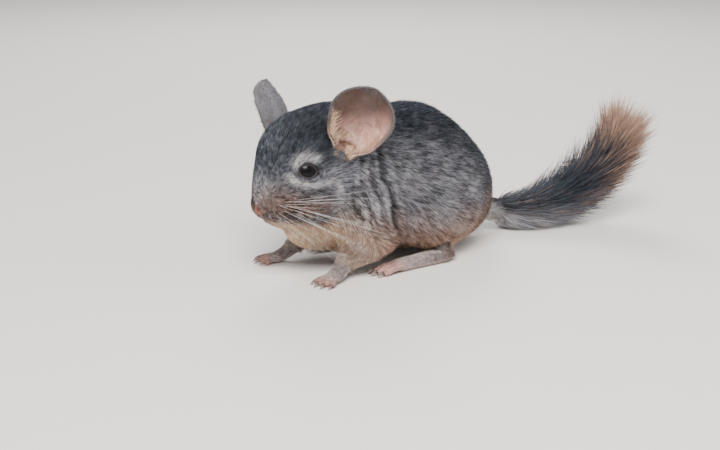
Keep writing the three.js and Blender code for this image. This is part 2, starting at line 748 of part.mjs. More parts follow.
addNode(
  "head",
  without(
    headSurface,
    beyond(NAPE, -GAP / 2),
    beyond(THROAT, -GAP / 2),
    ...SIDES.map((side) => ear(EARS[side], GAP)),
    ...SIDES.map((side) => eyeball(side, GAP)),
    ...SIDES.map(lidOpening),
    ...[1, -1].map(mouthLine),
    ...[1, -1].map(nostril),
  ).add(joined(whiskers())),
  "coat",
);
addNode(
  "neck",
  without(
    neckSurface.intersect(beyond(NAPE, GAP / 2).add(beyond(THROAT, GAP / 2))),
    beyond(SHOULDER_LINE, -GAP / 2),
    ...armHoles,
    ...footHoles,
  ),
  "coat",
);
addNode(
  "torso",
  without(
    body.intersect(beyond(SHOULDER_LINE, GAP / 2)),
    ...armHoles,
    ...thighHoles,
    tailCore(GAP),
  ),
  "coat",
);
for (const side of SIDES) {
  const y = side === "left" ? [-44, 2] : [-2, 44];
  const armSurface = solid(netSurface(flesh, [22, y[0], -8], [86, y[1], 60], STEP.arm));
  const arm = armSurface.intersect(limbSpace(ARM_OUTLINE, side, ARM_INNER));
  addNode("foreleg_" + side, without(arm, ...footHoles, ...thighHoles), "coat");
  addNode("forepaw_" + side, trimmed(forepaw(side)), "foot");
  addNode("thigh_" + side, body.intersect(limbSpace(THIGH_OUTLINE, side, THIGH_INNER)), "coat");
  addNode("hindfoot_" + side, trimmed(hindfoot(side)), "foot");
  addNode("ear_" + side, ear(EARS[side]), "ear");
  addNode("eye_" + side, eyeball(side), "eye");
}
addNode("tail_base", without(tail, beyond(BRUSH_LINE, -GAP / 2)), "coat");
const brush = wasm.Manifold.union([tail, ...brushLocks()]);
addNode("tail_brush", trimmed(brush.intersect(beyond(BRUSH_LINE, GAP / 2))), "brush");

// Move it over the origin
const box = new THREE.Box3().setFromObject(chinchilla);
const middle = box.getCenter(vec(0, 0, 0));
for (const mesh of chinchilla.children)
  mesh.geometry.translate(-middle.x, -middle.y, -box.min.z);

export default chinchilla;
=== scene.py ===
"""A young grey chinchilla, dressed with skin, coat, eyes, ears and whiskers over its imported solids."""

import json
import logging
import math
from dataclasses import dataclass, field
from enum import Enum

import bpy
import numpy as np
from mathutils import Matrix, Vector

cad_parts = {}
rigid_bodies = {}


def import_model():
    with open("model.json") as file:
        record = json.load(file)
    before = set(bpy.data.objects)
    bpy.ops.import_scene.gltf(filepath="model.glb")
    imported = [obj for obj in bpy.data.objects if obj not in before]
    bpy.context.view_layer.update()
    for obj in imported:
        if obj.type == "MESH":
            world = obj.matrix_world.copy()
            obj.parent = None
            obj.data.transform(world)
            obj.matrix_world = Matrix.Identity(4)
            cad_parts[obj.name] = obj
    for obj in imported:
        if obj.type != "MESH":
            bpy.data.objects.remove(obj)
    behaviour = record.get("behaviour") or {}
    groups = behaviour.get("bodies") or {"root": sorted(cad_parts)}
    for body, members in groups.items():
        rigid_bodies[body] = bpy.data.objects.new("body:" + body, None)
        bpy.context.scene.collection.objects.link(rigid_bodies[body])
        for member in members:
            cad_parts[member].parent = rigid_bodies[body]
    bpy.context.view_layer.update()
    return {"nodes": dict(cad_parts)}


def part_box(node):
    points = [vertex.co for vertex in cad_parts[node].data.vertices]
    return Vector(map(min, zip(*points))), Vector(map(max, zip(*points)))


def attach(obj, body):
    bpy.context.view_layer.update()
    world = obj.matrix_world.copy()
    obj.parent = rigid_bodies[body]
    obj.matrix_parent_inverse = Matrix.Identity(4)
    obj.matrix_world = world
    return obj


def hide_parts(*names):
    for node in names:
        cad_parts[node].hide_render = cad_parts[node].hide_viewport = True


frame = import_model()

log = logging.getLogger("chinchilla")

Array = np.ndarray
MM = 0.001


# Where things are. The body is laid out in millimetres with the nose towards -X, the animal's left
# at -Y and the soles at Z = 0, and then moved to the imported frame.

EYE_BALL_CENTRE = np.array([26.228, -12.135, 50.36])
GAZE = np.array([-0.34, -0.92, 0.2]) / np.linalg.norm([-0.34, -0.92, 0.2])
EYE_RADIUS = 6.2
EYE_OPENING = (3.9, 2.9)
NOSE = np.array([11.8, 0.0, 33.2])
NAPE = (np.array([46.5, 0.0, 50.0]), np.array([0.894, 0.0, -0.447]))
ELBOWS = {"left": (61.0, -19.0, 16.0), "right": (58.0, 19.0, 16.0)}
WRISTS = {"left": (43.0, -17.0, 6.4), "right": (39.0, 18.5, 6.4)}
FORE_TOES = {"left": (26.0, -21.0, 0.0), "right": (22.6, 24.5, 0.0)}
HEELS = {"left": (99.0, -25.0, 0.0), "right": (97.0, 25.0, 0.0)}
HIND_TOES = {"left": (56.5, -21.5, 0.0), "right": (54.0, 24.0, 0.0)}
TAIL_POINTS = (
    (130, 0, 16), (141, 0, 12.4), (150, -2, 9.6), (161, -6, 8), (173, -10, 9.4),
    (185, -14.5, 13.6), (195, -18, 20), (203, -20.5, 28), (208, -22.5, 36.5), (210.5, -23.5, 43),
)


class Side(Enum):
    """The two sides of the animal."""

    LEFT = "left"
    RIGHT = "right"

    @property
    def sign(self) -> float:
        """-1 on the animal's left and +1 on its right."""
        return -1.0 if self is Side.LEFT else 1.0


def eye_box_shift() -> Array:
    """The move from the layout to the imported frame, in millimetres, found from the left eye."""
    low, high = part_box("eye_left")
    return np.array((low + high) / 2) / MM - EYE_BALL_CENTRE


SHIFT = eye_box_shift()


def packed(points: Array) -> Array:
    """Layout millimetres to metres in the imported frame."""
    return (np.asarray(points, float) + SHIFT) * MM


def laid_out(points: Array) -> Array:
    """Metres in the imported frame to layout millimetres."""
    return np.asarray(points, float) / MM - SHIFT


# Small sums

def ease(low: float, high: float, x: Array) -> Array:
    """A smooth step from 0 at low to 1 at high."""
    t = np.clip((np.asarray(x, float) - low) / (high - low), 0.0, 1.0)
    return t * t * (3.0 - 2.0 * t)


def between(a: Array, b: Array, share: Array) -> Array:
    """Numbers from a to b by share."""
    return a + (b - a) * share


def mix(a: Array, b: Array, share: Array) -> Array:
    """Rows from a to b by share, with one share for each row."""
    return a + (b - a) * np.asarray(share, float)[..., None]


def unit(v: Array) -> Array:
    """Each row at length one."""
    return v / np.maximum(np.linalg.norm(v, axis=-1, keepdims=True), 1e-9)


def blob(points: Array, centre: tuple[float, ...], radii: tuple[float, ...]) -> Array:
    """A soft spot: 1 at its centre, fading out over its radii."""
    d = (points - np.array(centre)) / np.array(radii)
    return np.exp(-(d * d).sum(-1))


def left_handed(points: Array) -> Array:
    """Points folded onto the animal's left side, for what both sides share."""
    folded = points.copy()
    folded[:, 1] = -np.abs(folded[:, 1])
    return folded


def seen_from_side(points: Array, path: "Path") -> Array:
    """Distance from each point to a curve, both seen straight from the side."""
    return path.nearest(points * [1.0, 0.0, 1.0])[0]


def past_plane(points: Array, plane: tuple[Array, Array]) -> Array:
    """Signed distance beyond a plane, in millimetres."""
    at, normal = plane
    return (points - at) @ normal


def segment_distance(points: Array, a: tuple[float, ...], b: tuple[float, ...]) -> tuple[Array, Array]:
    """Distance to a line between two points.

    Args:
        points: rows of layout points.
        a: the first end.
        b: the second end.

    Returns:
        The distances, and how far along the line each nearest point is, from 0 to 1.
    """
    start = np.array(a, float)
    line = np.array(b, float) - start
    t = np.clip((points - start) @ line / (line @ line), 0.0, 1.0)
    return np.linalg.norm(points - start - t[:, None] * line, axis=1), t


class Grain:
    """Smooth seeded noise through space."""

    CELLS = 32

    def __init__(self, seed: int) -> None:
        """Fills the lattice from its seed."""
        shape = (self.CELLS, self.CELLS, self.CELLS, 3)
        self.lattice = np.random.default_rng(seed).uniform(-1.0, 1.0, shape)

    def vectors(self, points: Array, size: float) -> Array:
        """Three noise values for each point.

        Args:
            points: rows of layout points.
            size: the pitch of the noise in millimetres.

        Returns:
            Rows of three values from -1 to 1.
        """
        q = points / size + 100.0
        cell = np.floor(q).astype(int)
        f = q - cell
        f = f * f * (3.0 - 2.0 * f)
        total = np.zeros((len(points), 3))
        for corner in range(8):
            step = np.array([corner & 1, corner >> 1 & 1, corner >> 2 & 1])
            weight = np.prod(np.where(step, f, 1.0 - f), axis=1)
            i, j, k = ((cell + step) % self.CELLS).T
            total += weight[:, None] * self.lattice[i, j, k]
        return total

    def values(self, points: Array, size: float) -> Array:
        """One noise value for each point, from -1 to 1."""
        return self.vectors(points, size)[:, 0]


@dataclass
class Path:
    """A smooth curve through layout points, read by its share of the whole length."""

    points: tuple[tuple[float, ...], ...]
    fine: int = 40
    samples: Array = field(init=False)
    shares: Array = field(init=False)

    def __post_init__(self) -> None:
        """Samples a centripetal curve through the points."""
        p = np.array(self.points, float)
        p = np.vstack([2 * p[0] - p[1], p, 2 * p[-1] - p[-2]])
        rows = []
        for a, b, c, d in zip(p[:-3], p[1:-2], p[2:-1], p[3:]):
            k = [0.0]
            for m, n in ((a, b), (b, c), (c, d)):
                k.append(k[-1] + max(np.linalg.norm(n - m) ** 0.5, 1e-6))
            t = np.linspace(k[1], k[2], self.fine, endpoint=False)[:, None]
            ab = (k[1] - t) / k[1] * a + t / k[1] * b
            bc = (k[2] - t) / (k[2] - k[1]) * b + (t - k[1]) / (k[2] - k[1]) * c
            cd = (k[3] - t) / (k[3] - k[2]) * c + (t - k[2]) / (k[3] - k[2]) * d
            abc = (k[2] - t) / k[2] * ab + t / k[2] * bc
            bcd = (k[3] - t) / (k[3] - k[1]) * bc + (t - k[1]) / (k[3] - k[1]) * cd
            rows.append((k[2] - t) / (k[2] - k[1]) * abc + (t - k[1]) / (k[2] - k[1]) * bcd)
        self.samples = np.vstack([*rows, p[-2:-1]])
        steps = np.linalg.norm(np.diff(self.samples, axis=0), axis=1)
        self.shares = np.concatenate([[0.0], np.cumsum(steps)]) / steps.sum()

    def at(self, share: Array) -> Array:
        """Points at these shares of the length."""
        return np.stack([np.interp(share, self.shares, self.samples[:, n]) for n in range(3)], -1)

    def heading(self, share: Array) -> Array:
        """The curve's direction at these shares."""
        share = np.asarray(share, float)
        return unit(self.at(np.minimum(share + 0.01, 1.0)) - self.at(np.maximum(share - 0.01, 0.0)))

    def nearest(self, points: Array) -> tuple[Array, Array]:
        """Distance from each point to the curve, and the share where it is nearest."""
        best = np.full(len(points), 1e9)
        share = np.zeros(len(points))
        for place, s in zip(self.samples[::8], self.shares[::8]):
            d = np.linalg.norm(points - place, axis=1)
            closer = d < best
            best[closer] = d[closer]
            share[closer] = s
        return best, share


TAIL = Path(TAIL_POINTS)
LIP_LINE = Path((
    (10.6, 0.0, 30.4), (12.8, -0.6, 28.9), (15.2, -3.8, 29.2), (19.5, -6.3, 29.6), (24.0, -7.8, 31.2),
))
EYE_BROW = Path(((19.8, 0, 53.6), (21.6, 0, 56.0), (24.4, 0, 56.8), (27.2, 0, 55.2)))
EYE_STREAK = Path((
    (18, 0, 48), (21.4, 0, 45.6), (27, 0, 45), (33, 0, 46.4), (36.8, 0, 43), (38, 0, 38), (35.4, 0, 33),
))
CHEEK_FOLD = Path(((24, 0, 41.6), (30, 0, 41.4), (33.6, 0, 39), (33.8, 0, 35.4)))
TAIL_ROOT_RADIUS = 6.3
TAIL_TIP_RADIUS = 3.4
BRUSH_START = 0.22


# Colours, as linear light

@dataclass(frozen=True)
class Shades:
    """The colours of a standard grey chinchilla."""

    dark: tuple[float, ...] = (0.020, 0.026, 0.036)
    slate: tuple[float, ...] = (0.068, 0.078, 0.098)
    silver: tuple[float, ...] = (0.52, 0.51, 0.55)
    white: tuple[float, ...] = (0.80, 0.78, 0.78)
    buff: tuple[float, ...] = (0.55, 0.29, 0.17)
    cream: tuple[float, ...] = (0.97, 0.65, 0.46)
    brown: tuple[float, ...] = (0.215, 0.135, 0.105)
    under: tuple[float, ...] = (0.050, 0.056, 0.068)
    toe_pink: tuple[float, ...] = (0.50, 0.29, 0.25)
    foot_grey: tuple[float, ...] = (0.40, 0.33, 0.32)
    ear_pink: tuple[float, ...] = (0.46, 0.27, 0.23)
    ear_grey: tuple[float, ...] = (0.165, 0.156, 0.168)
    ear_brown: tuple[float, ...] = (0.105, 0.066, 0.055)
    tail_tip: tuple[float, ...] = (0.60, 0.38, 0.26)


SHADES = Shades()


def shade(name: str) -> Array:
    """A named colour as an array."""
    return np.array(getattr(SHADES, name))


# The coat over the body: length, lie, lift and markings at every place

@dataclass
class CoatMap:
    """What the fur does at each place on the body."""

    grain: Grain = field(default_factory=lambda: Grain(5))

    def head(self, p: Array) -> Array:
        """How much a place belongs to the head, from 0 to 1."""
        before_nape = 1.0 - ease(-4.0, 4.0, past_plane(p, NAPE))
        return before_nape * ease(20.0, 25.0, p[:, 2] + 0.25 * np.maximum(0, 30 - p[:, 0]))

    def eye_ring(self, p: Array) -> Array:
        """Distance from the middle of the nearer eye in half widths of its opening."""
        q = left_handed(p) - EYE_BALL_CENTRE
        side = unit(np.cross([0, 0, 1.0], GAZE))
        up = np.cross(GAZE, side)
        u = q @ side / EYE_OPENING[0]
        v = q @ up / EYE_OPENING[1]
        return np.hypot(u, v) + 9.0 * (q @ GAZE < 0)

    def legs(self, p: Array) -> tuple[Array, Array]:
        """How much a place belongs to a foreleg, and which way the leg runs there."""
        share = np.zeros(len(p))
        way = np.tile([0.0, 0.0, -1.0], (len(p), 1))
        for side in Side:
            elbow, wrist = ELBOWS[side.value], WRISTS[side.value]
            d, t = segment_distance(p, elbow, wrist)
            near = (1.0 - ease(7.5, 12.0, d)) * ease(0.0, 0.5, t)
            line = np.array(wrist) - np.array(elbow)
            way = mix(way, unit(line), near)
            share = np.maximum(share, near)
        return share, way

    def length(self, p: Array) -> Array:
        """The fur's length in millimetres."""
        from_nose = np.linalg.norm((p - NOSE) * [1.0, 1.0, 0.9], axis=1)
        head = 1.0 + 1.1 * ease(3, 14, from_nose) + 1.7 * ease(14, 40, from_nose)
        head *= 0.42 + 0.58 * ease(1.05, 2.1, self.eye_ring(p))
        body = 3.3 + 0.6 * ease(30, 60, p[:, 2]) + 1.0 * ease(64, 90, p[:, 0])
        body = np.where(p[:, 0] > 105, body + 0.8, body)
        legs, _ = self.legs(p)
        body = between(body, 2.2 + 2.4 * ease(5, 16, p[:, 2]), legs)
        tail, _ = TAIL.nearest(p)
        body = between(body, 4.0, (1.0 - ease(6.5, 9.5, tail)) * ease(132, 138, p[:, 0]))
        low = (1.0 - ease(2.0, 9.0, p[:, 2])) * ease(60, 75, p[:, 0])
        body = between(body, 3.4, low)
        for ear in EARS:
            head = head * (1 - 0.55 * ear.shelter(p))
        return between(body, head, self.head(p))

    def inset(self, p: Array) -> Array:
        """How far the skin lies under the outside of the coat, in millimetres."""
        return 0.30 * self.length(p)

    def lift(self, p: Array) -> Array:
        """The angle between fur and skin, in radians."""
        head = self.head(p)
        cheek = blob(left_handed(p), (38, -18, 42), (12, 8, 10))
        chest = blob(p, (36, 0, 20), (16, 18, 12))
        degrees = 19.0 - 5.0 * head + 5.0 * cheek + 5.0 * chest
        return np.radians(degrees)

    def lie(self, p: Array, normals: Array) -> Array:
        """Which way the fur lies, along the skin."""
        flank = 1.0 - ease(38, 66, p[:, 2])
        rump = ease(104, 134, p[:, 0])
        body = np.stack([1.0 - 0.35 * rump, 0.25 * np.sign(p[:, 1]) * (1 - flank), -0.28 - 0.5 * flank], -1)
        legs, way = self.legs(p)
        body = mix(unit(body), way, legs)
        chest = blob(p, (36, 0, 22), (14, 18, 14))
        body = mix(body, np.array([0.35, 0.0, -1.0]), chest)
        share, place = TAIL.nearest(p)
        at_tail = (1.0 - ease(7.0, 12.0, share)) * ease(128, 138, p[:, 0])
        body = body + (TAIL.heading(place) - body) * at_tail[:, None]
        from_nose = unit((p - NOSE - [-3.0, 0.0, 2.0]) * [1.0, 0.8, 0.85])
        cheek = blob(left_handed(p), (34, -18, 36), (14, 9, 12))
        from_nose = mix(from_nose, np.array([0.8, 0.0, -0.7]), 0.45 * cheek)
        way = body + (from_nose - body) * self.head(p)[:, None]
        way = way + 0.20 * self.grain.vectors(p, 6.0) + 0.12 * self.grain.vectors(p, 2.0)
        return unit(way - normals * (way * normals).sum(1, keepdims=True))

    def ridge(self, p: Array) -> Array:
        """Painted highlight: the pale crests between the neck's folds."""
        q = left_handed(p)
        lean = q[:, 0] + 0.22 * (q[:, 2] - 35.0)
        crests = sum(np.exp(-(((lean - at) / 1.1) ** 2)) for at in (48.3, 53.2, 58.6, 65.2))
        return crests * ease(8.0, 15.0, -q[:, 1]) * ease(20, 32, q[:, 2]) * (1 - ease(44, 56, q[:, 2]))

    def crease(self, p: Array) -> Array:
        """The folds of loose skin on the neck, 1 at the bottom of each."""
        q = left_handed(p)
        x, z = q[:, 0], q[:, 2]
        side = ease(7.0, 14.0, -q[:, 1])
        folds = (
            (61.6, 1.7, 1.0, 14, 24, 56, 68), (50.6, 1.3, 0.8, 18, 28, 48, 58),
            (55.8, 1.3, 0.75, 20, 30, 48, 58), (46.0, 1.2, 0.7, 24, 32, 44, 52),
        )
        total = np.zeros(len(p))
        for at, width, depth, start, full, fade, end in folds:
            place = (x - at + 0.22 * (z - 35.0) + 0.8 * np.sin(z * 0.33 + at)) / width
            total += depth * np.exp(-(place**2)) * ease(start, full, z) * (1 - ease(fade, end, z))
        return side * np.clip(total, 0.0, 1.0)

    def markings(self, p: Array, normals: Array) -> Array:
        """The colour that the coat shows at each place, with painted shade and highlight on the neck's
        folds.

        Args:
            p: rows of layout points.
            normals: the skin's normals there.

        Returns:
            Rows of linear colour.
        """
        body = self.body_colour(p, normals)
        colour = mix(body, self.head_colour(p, normals), self.head(p))
        # Painted shade at the bottoms of the neck's folds, and painted highlight on the crests between them.
        return colour * (1.0 - 0.80 * self.crease(p)[:, None]) * (1.0 + 0.60 * self.ridge(p)[:, None])

    def body_colour(self, p: Array, normals: Array) -> Array:
        """Dark slate above, silver on the flanks, buff below, cream on the chest and painted shade between
        the legs.
        """
        x, z = p[:, 0], p[:, 2]
        mottle = self.grain.values(p, 8.0)
        dark_above = ease(44, 68, z + 6.0 * mottle + 0.10 * (x - 90))
        silvery = 0.50 + 0.25 * mottle + 0.18 * self.grain.values(p + 40.0, 4.0)
        silvery = silvery * (1 - 0.93 * dark_above)
        silvery = silvery * (1 - 0.80 * ease(100, 130, x))
        body = mix(shade("slate"), shade("silver"), np.clip(silvery, 0, 1))
        body = mix(body, shade("dark"), 0.62 * dark_above)
        body = mix(body, shade("dark") * 1.3, 0.50 * ease(98, 124, x + 3.0 * mottle) * ease(22, 44, z))
        warm = 0.62 * (1 - ease(10, 34, z + 4.0 * mottle)) + 0.35 * (1 - ease(4, 16, z))
        body = mix(body, shade("buff"), np.clip(warm, 0, 1))
        rump = ease(108, 124, x) * (1 - ease(14, 44, z))
        body = mix(body, shade("brown") * 0.62, 0.70 * rump)
        # Painted shade on the lower flank between the fore and hind legs, above the hind foot.
        shade_between_legs = blob(left_handed(p), (70, -20, 14), (9, 12, 9))
        body = mix(body, shade("brown") * 0.9, 0.45 * shade_between_legs)
        belly = (1 - ease(5, 15, z)) * ease(50, 64, x) * (1 - ease(16, 24, np.abs(p[:, 1])))
        body = mix(body, shade("cream"), 0.6 * belly)
        chest = 1.5 * blob(p, (34, 0, 18), (17, 20, 12)) + 0.5 * blob(p, (52, -16, 14), (14, 12, 12))
        body = mix(body, shade("cream"), np.clip(chest, 0, 1))
        legs, _ = self.legs(p)
        body = mix(body, 0.50 * shade("cream") + 0.42 * shade("silver"), 0.75 * legs)
        tail_gap, _ = TAIL.nearest(p)
        tail = (1.0 - ease(7.5, 12.0, tail_gap)) * ease(128, 137, x)
        pale = mix(0.75 * shade("white"), shade("slate") * 1.5, ease(0.2, 0.9, normals[:, 2]))
        return mix(body, pale, 0.85 * tail)

    def head_colour(self, p: Array, normals: Array) -> Array:
        """Dark on the crown, with pale brows, a pale streak under the eye, a brown muzzle, and painted shade
        in the cheek's fold and in the openings of the ears.
        """
        q = left_handed(p)
        x, z = p[:, 0], p[:, 2]
        mottle = self.grain.values(p, 5.0)
        crown = ease(44, 60, z - 0.30 * (x - 30) + 2.0 * mottle)
        grey = 0.34 - 0.27 * crown + 0.08 * mottle
        grey += 0.26 * blob(q, (40, -20, 42), (10, 12, 11))
        head = mix(shade("slate"), shade("silver"), np.clip(grey, 0, 1))
        head = mix(head, shade("dark") * 1.1, 0.62 * crown)
        muzzle = np.clip(1.3 * blob(q, (17, -7, 36), (11, 10, 6.5)), 0, 1)
        rows = 0.5 + 0.5 * np.cos((z - 0.15 * x) * 2 * np.pi / 1.7)
        head = mix(head, shade("brown") * 1.05, 0.80 * muzzle)
        head = mix(head, shade("dark"), 0.38 * muzzle * rows * ease(5.0, 8.0, np.abs(p[:, 1])))
        lower = blob(q, (27, -14, 35), (12, 9, 4.5))
        head = mix(head, shade("buff") * 0.62, 0.55 * lower)
        side = ease(6.0, 10.0, np.abs(p[:, 1]))
        brow = seen_from_side(q, EYE_BROW)
        frost = 0.80 + 0.35 * self.grain.values(p, 1.6)
        head = mix(head, shade("white"), np.clip(0.58 * frost * side * np.exp(-((brow / 1.65) ** 2)), 0, 1))
        streak = seen_from_side(q, EYE_STREAK)
        head = mix(head, shade("white") * 0.8, 0.70 * side * np.exp(-((streak / 1.5) ** 2)))
        # Painted shade along the pressed-in fold of the cheek.
        fold = seen_from_side(q, CHEEK_FOLD)
        head = mix(head, shade("slate") * 0.55, 0.34 * side * np.exp(-((fold / 1.1) ** 2)))
        lip = 1.0 - ease(25.4, 31.0, z + 0.10 * (x - 12) + 0.8 * mottle)
        head = mix(head, shade("cream"), 0.92 * lip)
        nose_edge = np.linalg.norm((p - NOSE) / [4.4, 4.2, 3.6], axis=1)
        head = mix(head, shade("toe_pink") * 0.7, 0.6 * (1 - ease(0.8, 1.25, nose_edge)))
        ring = 1.0 - ease(1.05, 1.38, self.eye_ring(p))
        head = mix(head, shade("dark") * 0.7, 0.90 * ring)
        for ear in EARS:
            head = mix(head, shade("cream") * 0.75, 0.9 * ear.shelter(p))
            # Painted shade in the pressed-in opening of the ear.
            head = mix(head, shade("ear_brown") * 0.4, 0.92 * ear.canal(p))
        return head


# Finishes

def principled(name: str) -> tuple[bpy.types.Material, bpy.types.ShaderNodeTree, bpy.types.Node]:
    """A new material with its Principled shader.

    Args:
        name: the material's name.

    Returns:
        The material, its node tree and the shader node.
    """
    material = bpy.data.materials.new(name)
    material.use_nodes = True
    tree = material.node_tree
    return material, tree, tree.nodes["Principled BSDF"]


def noise_bump(tree: bpy.types.NodeTree, shader: bpy.types.Node, scale: float, strength: float) -> None:
    """Fine relief from noise in object coordinates.

    Args:
        tree: the material's nodes.
        shader: the shader that takes the relief.
        scale: how many grains to a metre.
        strength: the depth of the relief.
    """
    place = tree.nodes.new("ShaderNodeTexCoord")
    noise = tree.nodes.new("ShaderNodeTexNoise")
    noise.inputs["Scale"].default_value = scale
    noise.inputs["Detail"].default_value = 4.0
    bump = tree.nodes.new("ShaderNodeBump")
    bump.inputs["Strength"].default_value = strength
    bump.inputs["Distance"].default_value = 0.3 * MM
    tree.links.new(place.outputs["Object"], noise.inputs["Vector"])
    tree.links.new(noise.outputs["Fac"], bump.inputs["Height"])
    tree.links.new(bump.outputs["Normal"], shader.inputs["Normal"])


@dataclass(frozen=True)
class PaintedFinish:
    """A finish whose colour comes from the piece's own colour attribute."""

    name: str
    roughness: float = 0.7
    subsurface: float = 0.0
    grains: float = 0.0
    relief: float = 0.3
    specular: float = 0.3
    wet: float = 0.0

    def make(self) -> bpy.types.Material:
        """Builds the material."""
        material, tree, shader = principled(self.name)
        paint = tree.nodes.new("ShaderNodeAttribute")
        paint.attribute_name = PAINT
        tree.links.new(paint.outputs["Color"], shader.inputs["Base Color"])
        shader.inputs["Roughness"].default_value = self.roughness
        shader.inputs["Specular IOR Level"].default_value = self.specular
        shader.inputs["Subsurface Weight"].default_value = self.subsurface
        shader.inputs["Subsurface Scale"].default_value = 1.5 * MM
        shader.inputs["Coat Weight"].default_value = self.wet
        shader.inputs["Coat Roughness"].default_value = 0.03
        if self.grains:
            noise_bump(tree, shader, self.grains, self.relief)
        return material


@dataclass(frozen=True)
class FloorFinish:
    """A plain pale studio floor."""

    name: str = "studio_floor"
    colour: tuple[float, ...] = (0.80, 0.77, 0.74, 1.0)

    def make(self) -> bpy.types.Material:
        """Builds the material."""
        material, tree, shader = principled(self.name)
        shader.inputs["Base Color"].default_value = self.colour
        shader.inputs["Roughness"].default_value = 0.85
        return material


PAINT = "paint"
UNWRAP = "OFBake"
PATCH = 0.003


class Finishes:
    """Every finish, built once."""

    def __init__(self) -> None:
        """Builds the materials."""
        finish = PaintedFinish
        self.skin = finish("skin", roughness=0.85, specular=0.1, grains=2600.0, relief=0.5).make()
        self.coat = finish("coat", roughness=0.75, specular=0.10).make()
        self.brush = finish("brush_hair", roughness=0.65, specular=0.15).make()
        self.ear = finish("ear_skin", roughness=0.5, subsurface=0.25, grains=1500.0, relief=0.35).make()
        self.foot = finish("foot_skin", roughness=0.55, subsurface=0.12, grains=1900.0, relief=0.6).make()
        self.claw = finish("claw", roughness=0.3, specular=0.5).make()
        self.nose = finish("nose_leather", roughness=0.42, subsurface=0.1, grains=3800.0, relief=0.6).make()
        self.whisker = finish("whisker", roughness=0.35, specular=0.5).make()
        self.eye = finish("eye_wet", roughness=0.3, specular=0.08, wet=0.16).make()


# Mesh work

def deselect_all() -> None:
    """Leaves nothing selected."""
    if bpy.context.object and bpy.context.object.mode != "OBJECT":
        bpy.ops.object.mode_set(mode="OBJECT")
    bpy.ops.object.select_all(action="DESELECT")


def take(piece: bpy.types.Object) -> None:
    """Selects one object and makes it active."""
    deselect_all()
    piece.select_set(True)
    bpy.context.view_layer.objects.active = piece


def select_only(piece: bpy.types.Object, chosen: Array) -> None:
    """Selects some vertices of one piece, and makes it active.

    Args:
        piece: the object.
        chosen: for each vertex, whether it is selected.
    """
    take(piece)
    mesh = piece.data
    bpy.context.tool_settings.mesh_select_mode = (True, False, False)
    mesh.polygons.foreach_set("select", np.zeros(len(mesh.polygons), bool))
    mesh.edges.foreach_set("select", np.zeros(len(mesh.edges), bool))
    mesh.vertices.foreach_set("select", chosen)


def read_points(piece: bpy.types.Object) -> Array:
    """A piece's vertices in layout millimetres."""
    co = np.empty(len(piece.data.vertices) * 3)
    piece.data.vertices.foreach_get("co", co)
    return laid_out(co.reshape(-1, 3))


def write_points(piece: bpy.types.Object, points: Array) -> None:
    """Moves a piece's vertices to layout points."""
    piece.data.vertices.foreach_set("co", packed(points).ravel())
    piece.data.update()


def read_normals(piece: bpy.types.Object) -> Array:
    """A piece's vertex normals."""
    normals = np.empty(len(piece.data.vertices) * 3)
    piece.data.vertex_normals.foreach_get("vector", normals)
    return normals.reshape(-1, 3)


def read_edges(piece: bpy.types.Object) -> Array:
    """A piece's edges as pairs of vertices."""
    edges = np.empty(len(piece.data.edges) * 2, np.int32)
    piece.data.edges.foreach_get("vertices", edges)
    return edges.reshape(-1, 2)


def relaxed(values: Array, edges: Array, turns: int, share: Array) -> Array:
    """Values evened out along edges.

    Args:
        values: rows of values, one for each vertex.
        edges: pairs of vertices.
        turns: how many times to even out.
        share: how much each vertex moves, from 0 to 1.

    Returns:
        The new values.
    """
    count = len(values)
    a, b = edges.T
    degree = np.maximum(np.bincount(a, minlength=count) + np.bincount(b, minlength=count), 1)
    out = values.copy()
    for _ in range(turns):
        for n in range(values.shape[1]):
            column = out[:, n]
            total = np.bincount(a, column[b], count) + np.bincount(b, column[a], count)
            out[:, n] = column + share * (total / degree - column)
    return out


def paint(piece: bpy.types.Object, colours: Array) -> None:
    """Gives a piece its colour attribute, one colour for each vertex."""
    layer = piece.data.color_attributes.new(PAINT, "FLOAT_COLOR", "POINT")
    rgba = np.ones((len(colours), 4), np.float32)
    rgba[:, :3] = np.clip(colours, 0.0, 1.0)
    layer.data.foreach_set("color", rgba.ravel())


def unwrapped(piece: bpy.types.Object, margin: float) -> None:
    """Unwraps a piece, which also places each tuft that grows on it.

    Args:
        piece: the object to unwrap.
        margin: the gap between islands, as a share of the unwrap.
    """
    take(piece)
    piece.data.uv_layers.new(name=UNWRAP)
    bpy.ops.object.mode_set(mode="EDIT")
    bpy.ops.mesh.select_all(action="SELECT")
    bpy.ops.uv.smart_project(angle_limit=math.radians(70), island_margin=margin)
    bpy.ops.object.mode_set(mode="OBJECT")


def mesh_piece(name: str, points: Array, faces: Array, corners: Array | None = None) -> bpy.types.Object:
    """A new object from arrays.

    Args:
        name: the piece's name.
        points: rows of layout points.
        faces: rows of vertex numbers, all faces with the same number of corners.
        corners: the unwrap's place of each corner, if it has one.

    Returns:
        The object, with nothing but its mesh.
    """
    mesh = bpy.data.meshes.new(name)
    count, sides = faces.shape
    mesh.vertices.add(len(points))
    mesh.vertices.foreach_set("co", packed(points).ravel())
    mesh.loops.add(count * sides)
    mesh.loops.foreach_set("vertex_index", faces.ravel().astype(np.int32))
    mesh.polygons.add(count)
    mesh.polygons.foreach_set("loop_start", np.arange(0, count * sides, sides, dtype=np.int32))
    if corners is not None:
        layer = mesh.uv_layers.new(name=UNWRAP)
        layer.data.foreach_set("uv", corners.astype(np.float32).ravel())
    mesh.update(calc_edges=True)
    mesh.polygons.foreach_set("use_smooth", np.ones(count, bool))
    piece = bpy.data.objects.new(name, mesh)
    bpy.context.scene.collection.objects.link(piece)
    return piece


